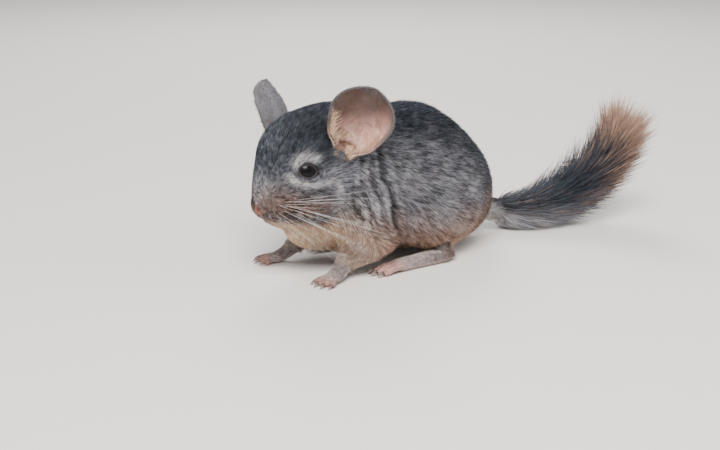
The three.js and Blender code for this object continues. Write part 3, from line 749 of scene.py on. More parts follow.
def tube(name: str, rings: Array, loop: bool) -> bpy.types.Object:
    """A closed tube through rings of points.

    Args:
        name: the piece's name.
        rings: for each ring, its points.
        loop: whether the last ring joins the first, or both ends are capped.

    Returns:
        The object, with its normals outward.
    """
    rows, sides = rings.shape[:2]
    i, j = np.meshgrid(np.arange(rows if loop else rows - 1), np.arange(sides), indexing="ij")
    after, beside = (i + 1) % rows, (j + 1) % sides
    faces = np.stack([i * sides + j, i * sides + beside, after * sides + beside, after * sides + j], -1)
    piece = mesh_piece(name, rings.reshape(-1, 3), faces.reshape(-1, 4))
    take(piece)
    bpy.ops.object.mode_set(mode="EDIT")
    bpy.ops.mesh.select_all(action="SELECT")
    if not loop:
        bpy.ops.mesh.fill_holes(sides=sides)
    bpy.ops.mesh.normals_make_consistent(inside=False)
    bpy.ops.object.mode_set(mode="OBJECT")
    return piece


def joined_copy(name: str, swells: dict[str, float]) -> bpy.types.Object:
    """Copies of CAD nodes, merged, swollen a little and joined in one object.

    Args:
        name: the new object's name.
        swells: for each node to copy, how far its surface moves out, in millimetres.

    Returns:
        The joined object.
    """
    copies = []
    for node, swell in swells.items():
        source = frame["nodes"][node]
        copy = bpy.data.objects.new(f"{name}_{node}", source.data.copy())
        copy.data.materials.clear()
        bpy.context.scene.collection.objects.link(copy)
        take(copy)
        bpy.ops.object.mode_set(mode="EDIT")
        bpy.ops.mesh.select_all(action="SELECT")
        bpy.ops.mesh.remove_doubles(threshold=0.002 * MM)
        bpy.ops.transform.shrink_fatten(value=swell * MM)
        bpy.ops.object.mode_set(mode="OBJECT")
        copies.append(copy)
    deselect_all()
    for copy in copies:
        copy.select_set(True)
    bpy.context.view_layer.objects.active = copies[0]
    bpy.ops.object.join()
    piece = bpy.context.object
    piece.name = piece.data.name = name
    return piece


def remeshed(piece: bpy.types.Object, voxel: float) -> None:
    """Turns a piece into one even surface.

    Args:
        piece: the object to change.
        voxel: the pitch of the new surface in millimetres.
    """
    take(piece)
    modifier = piece.modifiers.new("even", "REMESH")
    modifier.mode = "VOXEL"
    modifier.voxel_size = voxel * MM
    modifier.use_smooth_shade = True
    bpy.ops.object.modifier_apply(modifier=modifier.name)


def keep(piece: bpy.types.Object, finish: bpy.types.Material, slot: str, *nodes: str) -> None:
    """Dresses a piece and ties it to the frame.

    Args:
        piece: the finished object.
        finish: its material.
        slot: not used.
        nodes: the CAD nodes that it stands for.
    """
    piece.data.materials.clear()
    piece.data.materials.append(finish)
    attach(piece, "root")
    if nodes:
        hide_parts(*nodes)
    log.info("%s: %d faces", piece.name, len(piece.data.polygons))


def strands(
    name: str, sides: Array, paths: Array, widths: Array, taper: Array, tint: Array, unwrap: Array
) -> bpy.types.Object:
    """Many thin closed hairs or tufts in one mesh.

    Args:
        name: the piece's name.
        sides: for each strand, a direction square to its flat side.
        paths: for each strand, its points from root to tip.
        widths: the width of each strand in millimetres.
        taper: the share of that width at each point but the last, which is a single tip.
        tint: for each strand, its colour at each point.
        unwrap: the place of each strand on the unwrap.

    Returns:
        The object with its colours.
    """
    count, steps, _ = paths.shape
    heading = unit(np.gradient(paths, axis=1))
    across = unit(np.cross(heading, sides[:, None, :]))
    over = np.cross(across, heading)
    ring = np.array([[1.0, 0.0], [-0.5, 0.8], [-0.5, -0.8]])
    half = widths[:, None, None, None] / 2 * taper[None, :, None, None]
    body = paths[:, :-1, None, :] + half * (
        ring[None, None, :, :1] * over[:, :-1, None, :] + ring[None, None, :, 1:] * across[:, :-1, None, :]
    )
    points = np.concatenate([body.reshape(count, -1, 3), paths[:, -1:, :]], axis=1)
    each = points.shape[1]
    faces = [(0, 2, 1)]
    for row in range(steps - 2):
        for n in range(3):
            a, b = row * 3 + n, row * 3 + (n + 1) % 3
            faces += [(a, b, b + 3), (a, b + 3, a + 3)]
    last = (steps - 2) * 3
    faces += [(last + n, last + (n + 1) % 3, each - 1) for n in range(3)]
    pattern = np.array(faces)
    all_faces = (np.arange(count)[:, None, None] * each + pattern[None]).reshape(-1, 3)
    around = np.array([[-1.0, -0.8], [1.0, -0.8], [0.0, 1.0]])
    spot = np.zeros((each, 2))
    for row in range(steps - 1):
        spot[row * 3:row * 3 + 3] = around * PATCH / 2 * (1 - row / (steps - 1))
    flat = spot[pattern]
    flat[0] = around[0] * PATCH / 2
    corners = (unwrap[:, None, None, :] + flat[None]).reshape(-1, 2)
    piece = mesh_piece(name, points.reshape(-1, 3), all_faces, corners)
    rows = np.repeat(np.arange(steps), [3] * (steps - 1) + [1])
    paint(piece, tint[:, rows, :].reshape(-1, 3))
    return piece


def patches(u: Array, v: Array) -> Array:
    """Places on the unwrap, kept clear of its edges by a patch."""
    return PATCH + (1 - 2 * PATCH) * np.stack([u, v], -1)


# The skin

@dataclass
class Skin:
    """One seamless skin under the coat, from the nose to the root of the tail."""

    coat: CoatMap
    flesh: tuple[str, ...] = (
        "head", "neck", "torso", "foreleg_left", "foreleg_right", "thigh_left", "thigh_right", "tail_base",
    )
    voxel: float = 0.95
    swell: float = 0.24
    eye_swell: float = 1.1
    neck_fold: float = 1.5
    lid_swell: float = 0.30
    lid_groove: float = 0.30
    streak_rise: float = 0.55
    cheek_fold: float = 0.50
    lip_groove: float = 0.75
    lip_swell: float = 0.30
    pad_rise: float = 0.35
    canal_depth: float = 5.0
    socket_depth: float = 3.4
    eyeball_cover: float = 0.45
    piece: bpy.types.Object = field(init=False)

    def build(self, finish: bpy.types.Material) -> None:
        """Builds, sculpts and paints the skin."""
        self.piece = joined_copy(
            "skin",
            {
                **dict.fromkeys(self.flesh, self.swell),
                "eye_left": self.eye_swell,
                "eye_right": self.eye_swell,
            },
        )
        self.trim_whiskers()
        remeshed(self.piece, self.voxel)
        self.smooth()
        unwrapped(self.piece, 0.002)
        self.refine_face()
        self.sculpt()
        points, normals = read_points(self.piece), read_normals(self.piece)
        colours = self.coat.markings(points, normals)
        colours = mix(colours * 0.55, shade("under"), 0.35 * (1 - self.coat.head(points)))
        paint(self.piece, colours)
        keep(self.piece, finish, "coat", *self.flesh)

    def trim_whiskers(self) -> None:
        """Folds the solid whiskers into the copy of the head, since finer ones stand there."""
        points = read_points(self.piece)
        across = np.abs(points[:, 1])
        outer = (points[:, 0] < 30) & (points[:, 2] > 14) & (across > 21.2) & (points[:, 2] < 62)
        outer |= (points[:, 0] < 62) & (across > 33)
        points[outer] = [24.0, 0.0, 40.0]
        write_points(self.piece, points)

    def smooth(self) -> None:
        """Evens out the facets of the solids and draws the surface in by the coat's depth."""
        points = read_points(self.piece)
        edges = read_edges(self.piece)
        head = self.coat.head(points)
        legs, _ = self.coat.legs(points)
        points = relaxed(points, edges, 5, np.full(len(points), 0.5))
        tail = (1.0 - ease(8.0, 13.0, TAIL.nearest(points)[0])) * ease(122, 130, points[:, 0])
        points = relaxed(points, edges, 24, 0.5 * (1 - head) * (1 - 0.7 * legs) * (1 - 0.9 * tail))
        write_points(self.piece, points)
        normals = relaxed(read_normals(self.piece), edges, 6, np.full(len(points), 0.5))
        depth = self.coat.inset(points)
        write_points(self.piece, points - unit(normals) * depth[:, None])

    def refine_face(self) -> None:
        """Gives the face four times the faces, for its folds and lids."""
        points = read_points(self.piece)
        select_only(self.piece, (points[:, 0] < 40) & (points[:, 2] > 23))
        bpy.ops.object.mode_set(mode="EDIT")
        bpy.ops.mesh.subdivide(number_cuts=1, smoothness=0.0)
        bpy.ops.object.mode_set(mode="OBJECT")
        mesh = self.piece.data
        mesh.polygons.foreach_set("use_smooth", np.ones(len(mesh.polygons), bool))
        points = read_points(self.piece)
        share = 0.5 * (1.0 - ease(36, 42, points[:, 0]))
        write_points(self.piece, relaxed(points, read_edges(self.piece), 3, share))

    def sculpt(self) -> None:
        """Presses in the eyes, lids, lips and the folds of the neck."""
        points = read_points(self.piece)
        normals = read_normals(self.piece)
        ring = self.coat.eye_ring(points)
        move = -self.neck_fold * self.coat.crease(points)
        move += self.lid_swell * np.exp(-(((ring - 1.22) / 0.16) ** 2))
        move -= self.lid_groove * np.exp(-(((ring - 1.62) / 0.16) ** 2))
        streak = seen_from_side(points, EYE_STREAK)
        fold = seen_from_side(points, CHEEK_FOLD)
        cheeks = ease(6.0, 10.0, np.abs(points[:, 1]))
        raised = self.streak_rise * np.exp(-((streak / 1.6) ** 2))
        pressed = self.cheek_fold * np.exp(-((fold / 1.1) ** 2))
        move += cheeks * (raised - pressed)
        q = left_handed(points)
        lips = LIP_LINE.nearest(q)[0]
        move -= self.lip_groove * np.exp(-((lips / 0.75) ** 2)) * (points[:, 0] < 30)
        move += self.lip_swell * np.exp(-(((lips - 1.9) / 0.8) ** 2)) * (points[:, 0] < 26)
        move += self.pad_rise * blob(q, (17.5, -8.5, 36.0), (4.5, 4.0, 3.6))
        for ear in EARS:
            move -= self.canal_depth * ear.canal(points)
        points = points + normals * move[:, None]
        hollow = 1.0 - ease(0.92, 1.08, ring)
        sign = np.where(points[:, 1] < 0, -1.0, 1.0)
        gaze = np.stack([np.full(len(points), GAZE[0]), -GAZE[1] * sign, np.full(len(points), GAZE[2])], -1)
        points = points - gaze * (self.socket_depth * hollow)[:, None]
        away = points - EYE_BALL_CENTRE * np.stack([np.ones(len(sign)), -sign, np.ones(len(sign))], -1)
        gap = np.linalg.norm(away, axis=1)
        cover = EYE_RADIUS + self.eyeball_cover
        bare = (ring > 0.98) & ((away * gaze).sum(1) > 0) & (gap < cover)
        points[bare] += (away * (cover / gap - 1.0)[:, None])[bare]
        write_points(self.piece, points)


@dataclass
class Surface:
    """Triangles to grow hair on."""

    points: Array
    normals: Array
    triangles: Array
    unwrap: Array

    def scatter(self, weights: Array, count: int, rng: np.random.Generator) -> tuple[Array, Array, Array]:
        """Random places, denser where the weights are higher.

        Args:
            weights: one for each vertex.
            count: how many places.
            rng: the source of chance.

        Returns:
            The places, the normals there and their places on the unwrap.
        """
        a, b, c = (self.points[self.triangles[:, n]] for n in range(3))
        area = np.linalg.norm(np.cross(b - a, c - a), axis=1) / 2
        weight = area * weights[self.triangles].mean(1)
        chosen = rng.choice(len(area), count, p=weight / weight.sum())
        u, v = rng.random(count), rng.random(count)
        over = u + v > 1
        u[over], v[over] = 1 - u[over], 1 - v[over]
        share = np.stack([1 - u - v, u, v], -1)[:, :, None]
        corners = self.triangles[chosen]
        place = (self.points[corners] * share).sum(1)
        normal = unit((self.normals[corners] * share).sum(1))
        return place, normal, (self.unwrap[chosen] * share).sum(1)


def surface_of(piece: bpy.types.Object) -> Surface:
    """A finished skin as triangles for hair to grow on."""
    mesh = piece.data
    mesh.calc_loop_triangles()
    count = len(mesh.loop_triangles)
    corners = np.empty(count * 3, np.int32)
    loops = np.empty(count * 3, np.int32)
    mesh.loop_triangles.foreach_get("vertices", corners)
    mesh.loop_triangles.foreach_get("loops", loops)
    unwrap = np.empty(len(mesh.loops) * 2)
    mesh.uv_layers[UNWRAP].data.foreach_get("uv", unwrap)
    spots = unwrap.reshape(-1, 2)[loops.reshape(-1, 3)]
    return Surface(read_points(piece), read_normals(piece), corners.reshape(-1, 3), spots)


# The coat

@dataclass
class Coat:
    """The short dense fur in tufts that lie along the body."""

    map: CoatMap
    tufts: int = 290_000
    most_in_piece: int = 48_000
    seed: int = 21
    narrowest: float = 0.19
    wider_by_length: float = 0.042
    root_depth: float = 0.3
    over_floor: float = 0.25
    stray: float = 0.13

    def density(self, p: Array) -> Array:
        """Tufts to a square millimetre, as a weight."""
        head = self.map.head(p)
        from_nose = np.linalg.norm(p - NOSE, axis=1)
        weight = 4.6 + head * (4.4 + 9.0 * (1.0 - ease(4, 24, from_nose)))
        legs, _ = self.map.legs(p)
        weight = weight + 3.0 * legs
        ring = self.map.eye_ring(p)
        weight = weight * ease(1.02, 1.12, ring)
        bare_nose = np.linalg.norm((p - NOSE) / [3.2, 3.4, 2.7], axis=1)
        weight = weight * ease(0.85, 1.1, bare_nose)
        return weight * (0.35 + 0.65 * ease(1.5, 9.0, p[:, 2]))

    def build(self, surface: Surface, finish: bpy.types.Material) -> None:
        """Grows the tufts, region by region."""
        rng = np.random.default_rng(self.seed)
        place, normal, unwrap = surface.scatter(self.density(surface.points), self.tufts, rng)
        length = self.map.length(place) * rng.uniform(0.75, 1.2, len(place))
        lift = self.map.lift(place) * rng.uniform(0.55, 1.45, len(place))
        way = self.map.lie(place, normal) + rng.normal(0.0, self.stray, place.shape)
        way = unit(way - normal * (way * normal).sum(1, keepdims=True))
        reach = np.cos(lift)[:, None] * way + np.sin(lift)[:, None] * normal
        tip = place + reach * length[:, None]
        root = place - normal * self.root_depth - way * 0.25 * length[:, None] * 0.3
        tip[:, 2] = np.maximum(tip[:, 2], self.over_floor)
        width = self.narrowest + self.wider_by_length * self.map.length(place)
        width = width * rng.uniform(0.8, 1.25, len(place))
        colour = self.colours(place, normal, rng)
        paths = np.stack([root, tip], axis=1)
        taper = np.array([1.0])
        for name, chosen in self.regions(place).items():
            index = np.flatnonzero(chosen)
            for part in range(math.ceil(len(index) / self.most_in_piece)):
                some = index[part * self.most_in_piece:(part + 1) * self.most_in_piece]
                piece = strands(
                    f"coat_{name}_{part + 1}", normal[some], paths[some], width[some], taper,
                    colour[some], unwrap[some],
                )
                keep(piece, finish, "coat")

    def colours(self, place: Array, normal: Array, rng: np.random.Generator) -> Array:
        """Colours at the root and tip of each tuft, with the coat's ticking.

        Args:
            place: the roots.
            normal: the skin's normals there.
            rng: the source of chance.

        Returns:
            For each tuft, two rows of linear colour.
        """
        base = self.map.markings(place, normal)
        head = self.map.head(place)
        patch = 1.2 * self.map.grain.values(place * [0.75, 1.0, 1.0], 0.75)
        fleck = patch + 0.3 * self.map.grain.values(place + 60.0, 2.4) + rng.normal(0.0, 0.75, len(place))
        light = ease(0.1, 1.25, fleck)[:, None]
        dark = ease(0.0, 1.0, -fleck)[:, None]
        calm = ease(0.28, 0.62, base.mean(1))
        strength = ((1.0 - 0.15 * head) * (1.0 - 0.50 * calm))[:, None]
        tip = base * (1 + 1.25 * light * strength) * (1 - 0.80 * dark * strength)
        tip = tip + (0.03 + 0.25 * base.mean(1, keepdims=True)) * light * strength
        root = (0.62 + 0.20 * calm)[:, None] * tip + 0.05 * base
        return np.stack([root, tip], axis=1)

    def regions(self, p: Array) -> dict[str, Array]:
        """Which tufts go in which piece."""
        head = self.map.head(p) > 0.5
        left = p[:, 1] < 0
        high = p[:, 2] > 50
        low = (p[:, 2] < 14) & ~head
        body = ~head & ~low
        return {
            "face_left": head & left,
            "face_right": head & ~left,
            "back": body & high,
            "flank_left": body & ~high & left,
            "flank_right": body & ~high & ~left,
            "underside": low,
        }


# Ears

@dataclass(frozen=True)
class EarHair:
    """One kind of hair on an ear, with its share of the ear's hairs."""

    kind: str
    share: float
    length: float
    width: float
    colour: tuple[str, float]
    on_back: bool = False


@dataclass
class Ear:
    """A large thin cup of an ear, rolled at its root and open above."""

    side: Side
    root: tuple[float, ...]
    up: tuple[float, ...]
    outward: tuple[float, ...]
    length: float = 34.0
    width: float = 29.0
    thickness: float = 0.75
    sunk: float = 3.0
    cells: int = 56
    hairs: int = 2600
    widths: tuple[tuple[float, float], ...] = (
        (0, 0.5), (0.12, 0.66), (0.3, 0.88), (0.45, 0.97), (0.6, 1.0),
    )
    rolls: tuple[tuple[float, float], ...] = ((0, 2.1), (0.15, 1.8), (0.35, 1.3), (0.6, 0.95), (1.0, 0.8))

    def sheet(self, t: Array, a: Array) -> Array:
        """Points on the middle of the ear's thickness.

        Args:
            t: the share of the ear's length.
            a: the place across it, from -1 to 1.

        Returns:
            Rows of layout points.
        """
        long, facing, side = self.axes()
        radius, roll = self.bend(t)
        ridge = 0.28 * np.cos(a * 9.0) * ease(0.15, 0.4, t) * (1 - ease(0.75, 0.95, t))
        shelf = 2.6 * np.exp(-(((t - 0.24) / 0.055) ** 2) - ((a - 0.1) / 0.42) ** 2)
        forward = radius * (1 - np.cos(roll * a)) - 3.0 * np.sin(np.pi * t) + ridge + shelf
        notch = 3.6 * np.abs(a) ** 3 * (1 - ease(0.0, 0.3, t))
        return (
            np.array(self.root)
            + long * (self.length * t - self.sunk + notch)[:, None]
            + side * (radius * np.sin(roll * a))[:, None]
            + facing * forward[:, None]
        )

    def axes(self) -> tuple[Array, Array, Array]:
        """The ear's directions: along it, out of its hollow and across it."""
        long = unit(np.array(self.up))
        facing = np.array(self.outward) - long * (np.array(self.outward) @ long)
        facing = unit(facing)
        return long, facing, np.cross(long, facing)

    def bend(self, t: Array) -> tuple[Array, Array]:
        """The radius that the ear is rolled to, and the half angle of the roll, along it."""
        round_top = np.sqrt(np.clip(1 - (np.maximum(t - 0.6, 0) / 0.4) ** 2, 0.0004, 1))
        width = np.interp(t, *zip(*self.widths)) * round_top
        roll = np.interp(t, *zip(*self.rolls))
        return self.width / 2 * width * 1.12 / roll, roll

    def depth(self, p: Array) -> Array:
        """How far from the middle of the ear's tube each point is, in radii of the tube."""
        long, facing, side = self.axes()
        q = p - np.array(self.root)
        t = np.clip((q @ long + self.sunk) / self.length, 0.0, 1.0)
        radius, _ = self.bend(t)
        off = np.hypot(q @ side, q @ facing - radius + 3.0 * np.sin(np.pi * t)) / radius
        return off + 5.0 * (1 - ease(-5.0, -2.0, q @ long)) + 5.0 * ease(18.0, 24.0, q @ long)

    def shelter(self, p: Array) -> Array:
        """How much a place on the head lies in the ear's hollow, from 0 to 1."""
        return 1.0 - ease(0.85, 1.15, self.depth(p))

    def canal(self, p: Array) -> Array:
        """How much a place on the head lies in the opening of the ear, from 0 to 1."""
        return 1.0 - ease(0.40, 0.82, self.depth(p))

    def build(self, finish: bpy.types.Material, hair: bpy.types.Material) -> None:
        """Builds the ear's skin and its hair."""
        name = f"ear_{self.side.value}"
        deselect_all()
        bpy.ops.mesh.primitive_grid_add(x_subdivisions=self.cells, y_subdivisions=self.cells, size=2)
        piece = bpy.context.object
        piece.name = piece.data.name = f"{name}_cup"
        flat = np.empty(len(piece.data.vertices) * 3)
        piece.data.vertices.foreach_get("co", flat)
        flat = flat.reshape(-1, 3)
        a = flat[:, 0]
        t = 1.0 - (1.0 - (flat[:, 1] + 1) / 2) ** 1.8
        write_points(piece, self.sheet(t, a))
        take(piece)
        wall = piece.modifiers.new("wall", "SOLIDIFY")
        wall.thickness = self.thickness * MM
        wall.offset = 0.0
        bpy.ops.object.modifier_apply(modifier=wall.name)
        self.paint_cup(piece, t, a)
        piece.data.polygons.foreach_set("use_smooth", np.ones(len(piece.data.polygons), bool))
        keep(piece, finish, "ear", name)
        self.grow_hair(name, hair)

    def paint_cup(self, piece: bpy.types.Object, t: Array, a: Array) -> None:
        """Paints the pink hollow, with painted shade on one side and low in the cup at its root, the grey
        back and the dark rim.
        """
        count = len(t)
        points = read_points(piece)
        extra = len(points) // count
        t, a = np.tile(t, extra), np.tile(a, extra)
        facing = np.array(self.outward)
        inner = ease(-0.15, 0.25, read_normals(piece) @ unit(facing))
        grain = Grain(9)
        mottle = grain.values(points, 3.0)
        rim = np.maximum(ease(0.78, 0.97, np.abs(a)), ease(0.86, 0.98, t))
        # Pink low in the hollow turning brown towards the top; the term across the ear adds painted shade
        # that darkens one side of the hollow.
        hollow = mix(shade("ear_pink"), shade("ear_brown"), ease(0.30, 0.72, t + 0.34 * a * self.side.sign))
        hollow = hollow * (1.0 + 0.20 * mottle[:, None])
        veins = np.abs(grain.values(points * [1.0, 1.0, 0.5] + 3.0 * a[:, None], 2.6))
        hollow = mix(hollow, shade("ear_brown") * 0.8, 0.45 * (1 - ease(0.0, 0.16, veins)))
        low = (1 - ease(0.16, 0.40, t)) * ease(0.1, 0.6, np.abs(a))
        hollow = mix(hollow, shade("cream") * 0.8, 0.55 * low)
        # Painted shade in the recess under the fold at the root of the ear.
        pit_shade = np.exp(-(((t - 0.15) / 0.07) ** 2) - (a / 0.5) ** 2)
        hollow = mix(hollow, shade("ear_brown") * 0.45, 0.8 * pit_shade)
        hollow = mix(hollow, shade("ear_grey") * 0.55, 0.85 * rim * ease(0.3, 0.5, t))
        back = mix(shade("ear_grey") * 0.6, shade("silver") * 0.45, 0.3 + 0.3 * mottle)
        back = mix(back, shade("ear_grey") * 0.5, 0.6 * ease(0.93, 1.0, np.maximum(np.abs(a), t)))
        paint(piece, mix(back, hollow, inner))

    def grow_hair(self, name: str, hair: bpy.types.Material) -> None:
        """Fine fuzz over the back of the ear and a pale fringe on its edges and hollow."""
        rng = np.random.default_rng(33 + len(name))
        for hair_kind in EAR_HAIR:
            kind, length, width = hair_kind.kind, hair_kind.length, hair_kind.width
            count = int(self.hairs * hair_kind.share)
            face = -1.0 if hair_kind.on_back else 1.0
            name_of_shade, brightness = hair_kind.colour
            colour = shade(name_of_shade) * brightness
            t = rng.uniform(0.05, 0.985, count)
            a = rng.uniform(-1.0, 1.0, count)
            if kind == "fringe":
                t = rng.uniform(0.02, 0.48, count)
                a = np.sign(a) * rng.uniform(0.74, 0.99, count)
            if kind == "rim":
                a = np.sign(a) * 0.985
            if kind == "tassel":
                t = rng.uniform(0.04, 0.32, count)
                a = np.sign(a) * rng.uniform(0.9, 0.99, count)
            e = 0.01
            place = self.sheet(t, a)
            along = unit(self.sheet(np.minimum(t + e, 1), a) - self.sheet(np.maximum(t - e, 0), a))
            across = unit(self.sheet(t, a + e) - self.sheet(t, a - e))
            normal = unit(np.cross(along, across)) * -face
            sideways = 0.7 if kind in ("fringe", "rim") else 0.2
            way = along * 0.9 + across * np.sign(a)[:, None] * sideways
            if kind == "fringe":
                way = along * 0.8 - across * np.sign(a)[:, None] * 0.35
            if kind == "tassel":
                way = along * 0.55 + self.axes()[1] * 0.75
            way = unit(way + rng.normal(0, 0.30, place.shape))
            reach = length * rng.uniform(0.5, 1.3, count)[:, None]
            rise = 0.45 if kind == "fringe" else 0.30
            start = place + normal * 0.2
            tip = start + (way * 0.92 + normal * rise) * reach
            middle = start + (way * 0.5 + normal * rise * 0.8) * reach
            paths = np.stack([start - normal * 0.3, middle, tip], axis=1)
            if kind == "down":
                # Brown towards the top of the hollow, with painted shade on one side, as in the cup.
                upper_and_shaded_side = ease(0.28, 0.62, t + 0.34 * a * self.side.sign)
                colour = mix(colour, shade("ear_brown") * 1.4, upper_and_shaded_side)
            tint = np.repeat((colour * rng.uniform(0.6, 1.3, (count, 1)))[:, None, :], 3, axis=1)
            piece = strands(
                f"{name}_{kind}", normal, paths, np.full(count, width), np.array([1.0, 0.8]), tint,
                patches((a + 1) / 2, t),
            )
            keep(piece, hair, "coat")


EAR_HAIR = (
    EarHair("fuzz", 3 / 2, 1.3, 0.15, ("silver", 0.3), on_back=True),
    EarHair("down", 1, 1.8, 0.09, ("buff", 0.8)),
    EarHair("fringe", 1 / 6, 4.8, 0.10, ("cream", 0.95)),
    EarHair("rim", 1 / 4, 1.6, 0.12, ("ear_grey", 1.2)),
    EarHair("tassel", 1 / 30, 4.6, 0.08, ("cream", 0.9)),
)
EARS = (
    Ear(Side.LEFT, (43.5, -16, 58), (0.25, -0.42, 0.87), (-0.55, -0.8, 0.1)),
    Ear(Side.RIGHT, (39.5, 18.5, 55), (-0.12, 0.46, 0.88), (-0.58, 0.78, 0.1)),
)


# Eyes and nose

@dataclass
class Eye:
    """A dark wet eye set between its lids."""

    side: Side
    rim: float = 0.55

    def fold(self, points: Array) -> Array:
        """Points of the left eye moved to this side."""
        out = np.asarray(points, float).copy()
        out[..., 1] *= -self.side.sign
        return out

    def build(self, finishes: Finishes) -> None:
        """Builds the eyeball and the lids' rim."""
        name = f"eye_{self.side.value}"
        centre = self.fold(EYE_BALL_CENTRE)
        deselect_all()
        bpy.ops.mesh.primitive_uv_sphere_add(
            segments=48, ring_count=32, radius=EYE_RADIUS * MM, location=tuple(packed(centre))
        )
        ball = bpy.context.object
        ball.name = ball.data.name = f"{name}_ball"
        bpy.ops.object.transform_apply(location=True, rotation=True, scale=True)
        bpy.ops.object.shade_smooth()
        gaze = self.fold(GAZE)
        facing = unit(read_points(ball) - centre) @ gaze
        iris = ease(0.66, 0.74, facing) * (1 - ease(0.86, 0.90, facing))
        colour = mix(np.array([0.003, 0.003, 0.004]), np.array([0.014, 0.008, 0.006]), iris)
        paint(ball, colour)
        keep(ball, finishes.eye, "eye", name)
        self.build_rim(name, finishes.nose)

    def build_rim(self, name: str, finish: bpy.types.Material) -> None:
        """Builds the bare edge of the lids as a ring that hugs the eyeball."""
        turns = np.linspace(0, 2 * np.pi, 72, endpoint=False)
        side = unit(np.cross([0, 0, 1.0], GAZE))
        up = np.cross(GAZE, side)
        tilt = math.radians(-8)
        pinch = 1 - 0.25 * np.abs(np.cos(turns)) ** 4
        u = np.cos(turns) * EYE_OPENING[0] * 1.02
        v = np.sin(turns) * pinch * EYE_OPENING[1] * 1.02
        u, v = u * math.cos(tilt) - v * math.sin(tilt), u * math.sin(tilt) + v * math.cos(tilt)
        depth = np.sqrt(np.maximum(EYE_RADIUS**2 - u**2 - v**2, 0.1)) + 0.05
        centres = EYE_BALL_CENTRE + u[:, None] * side + v[:, None] * up + depth[:, None] * GAZE
        away = unit(centres - EYE_BALL_CENTRE)
        heading = unit(np.roll(centres, -1, 0) - np.roll(centres, 1, 0))
        outward = np.cross(heading, away)
        angles = np.linspace(0, 2 * np.pi, 10, endpoint=False)
        ring = (
            centres[:, None, :]
            + self.rim * np.cos(angles)[None, :, None] * outward[:, None, :]
            + self.rim * np.sin(angles)[None, :, None] * away[:, None, :]
        )
        piece = tube(f"{name}_lids", self.fold(ring), loop=True)
        paint(piece, np.tile([0.030, 0.024, 0.025], (len(piece.data.vertices), 1)))
        keep(piece, finish, "eye")


@dataclass
class NosePad:
    """The bare reddish-brown leather of the nose, with its nostrils."""

    radii: tuple[float, ...] = (3.0, 3.3, 2.6)
    centre: tuple[float, ...] = (11.6, 0.0, 33.3)

    def build(self, finish: bpy.types.Material) -> None:
        """Builds the pad from a ball, with nostrils and the groove below pressed in."""
        deselect_all()
        bpy.ops.mesh.primitive_uv_sphere_add(segments=64, ring_count=48, radius=1.0)
        piece = bpy.context.object
        piece.name = piece.data.name = "nose_pad"
        unit_points = np.empty(len(piece.data.vertices) * 3)
        piece.data.vertices.foreach_get("co", unit_points)
        ball = unit_points.reshape(-1, 3)
        points = np.array(self.centre) + ball * np.array(self.radii)
        q = left_handed(points)
        nostril = Path(((9.2, -1.2, 33.9), (9.9, -2.0, 34.3), (11.2, -2.7, 34.0))).nearest(q)[0]
        groove = np.exp(-((points[:, 1] / 0.4) ** 2)) * (1 - ease(32.6, 34.0, points[:, 2]))
        press = 0.95 * np.exp(-((nostril / 0.62) ** 2)) + 0.4 * groove
        points = points - unit(ball) * press[:, None]
        write_points(piece, points)
        # Painted shade in the pressed-in nostrils.
        dark = np.clip(1.5 * np.exp(-((nostril / 0.6) ** 2)), 0, 1)
        colour = mix(np.array([0.21, 0.080, 0.060]), np.array([0.015, 0.009, 0.009]), dark)
        colour = mix(colour, np.array([0.27, 0.13, 0.10]), 0.5 * ease(34.0, 35.6, points[:, 2]))
        paint(piece, colour)
        bpy.ops.object.shade_smooth()
        keep(piece, finish, "foot")


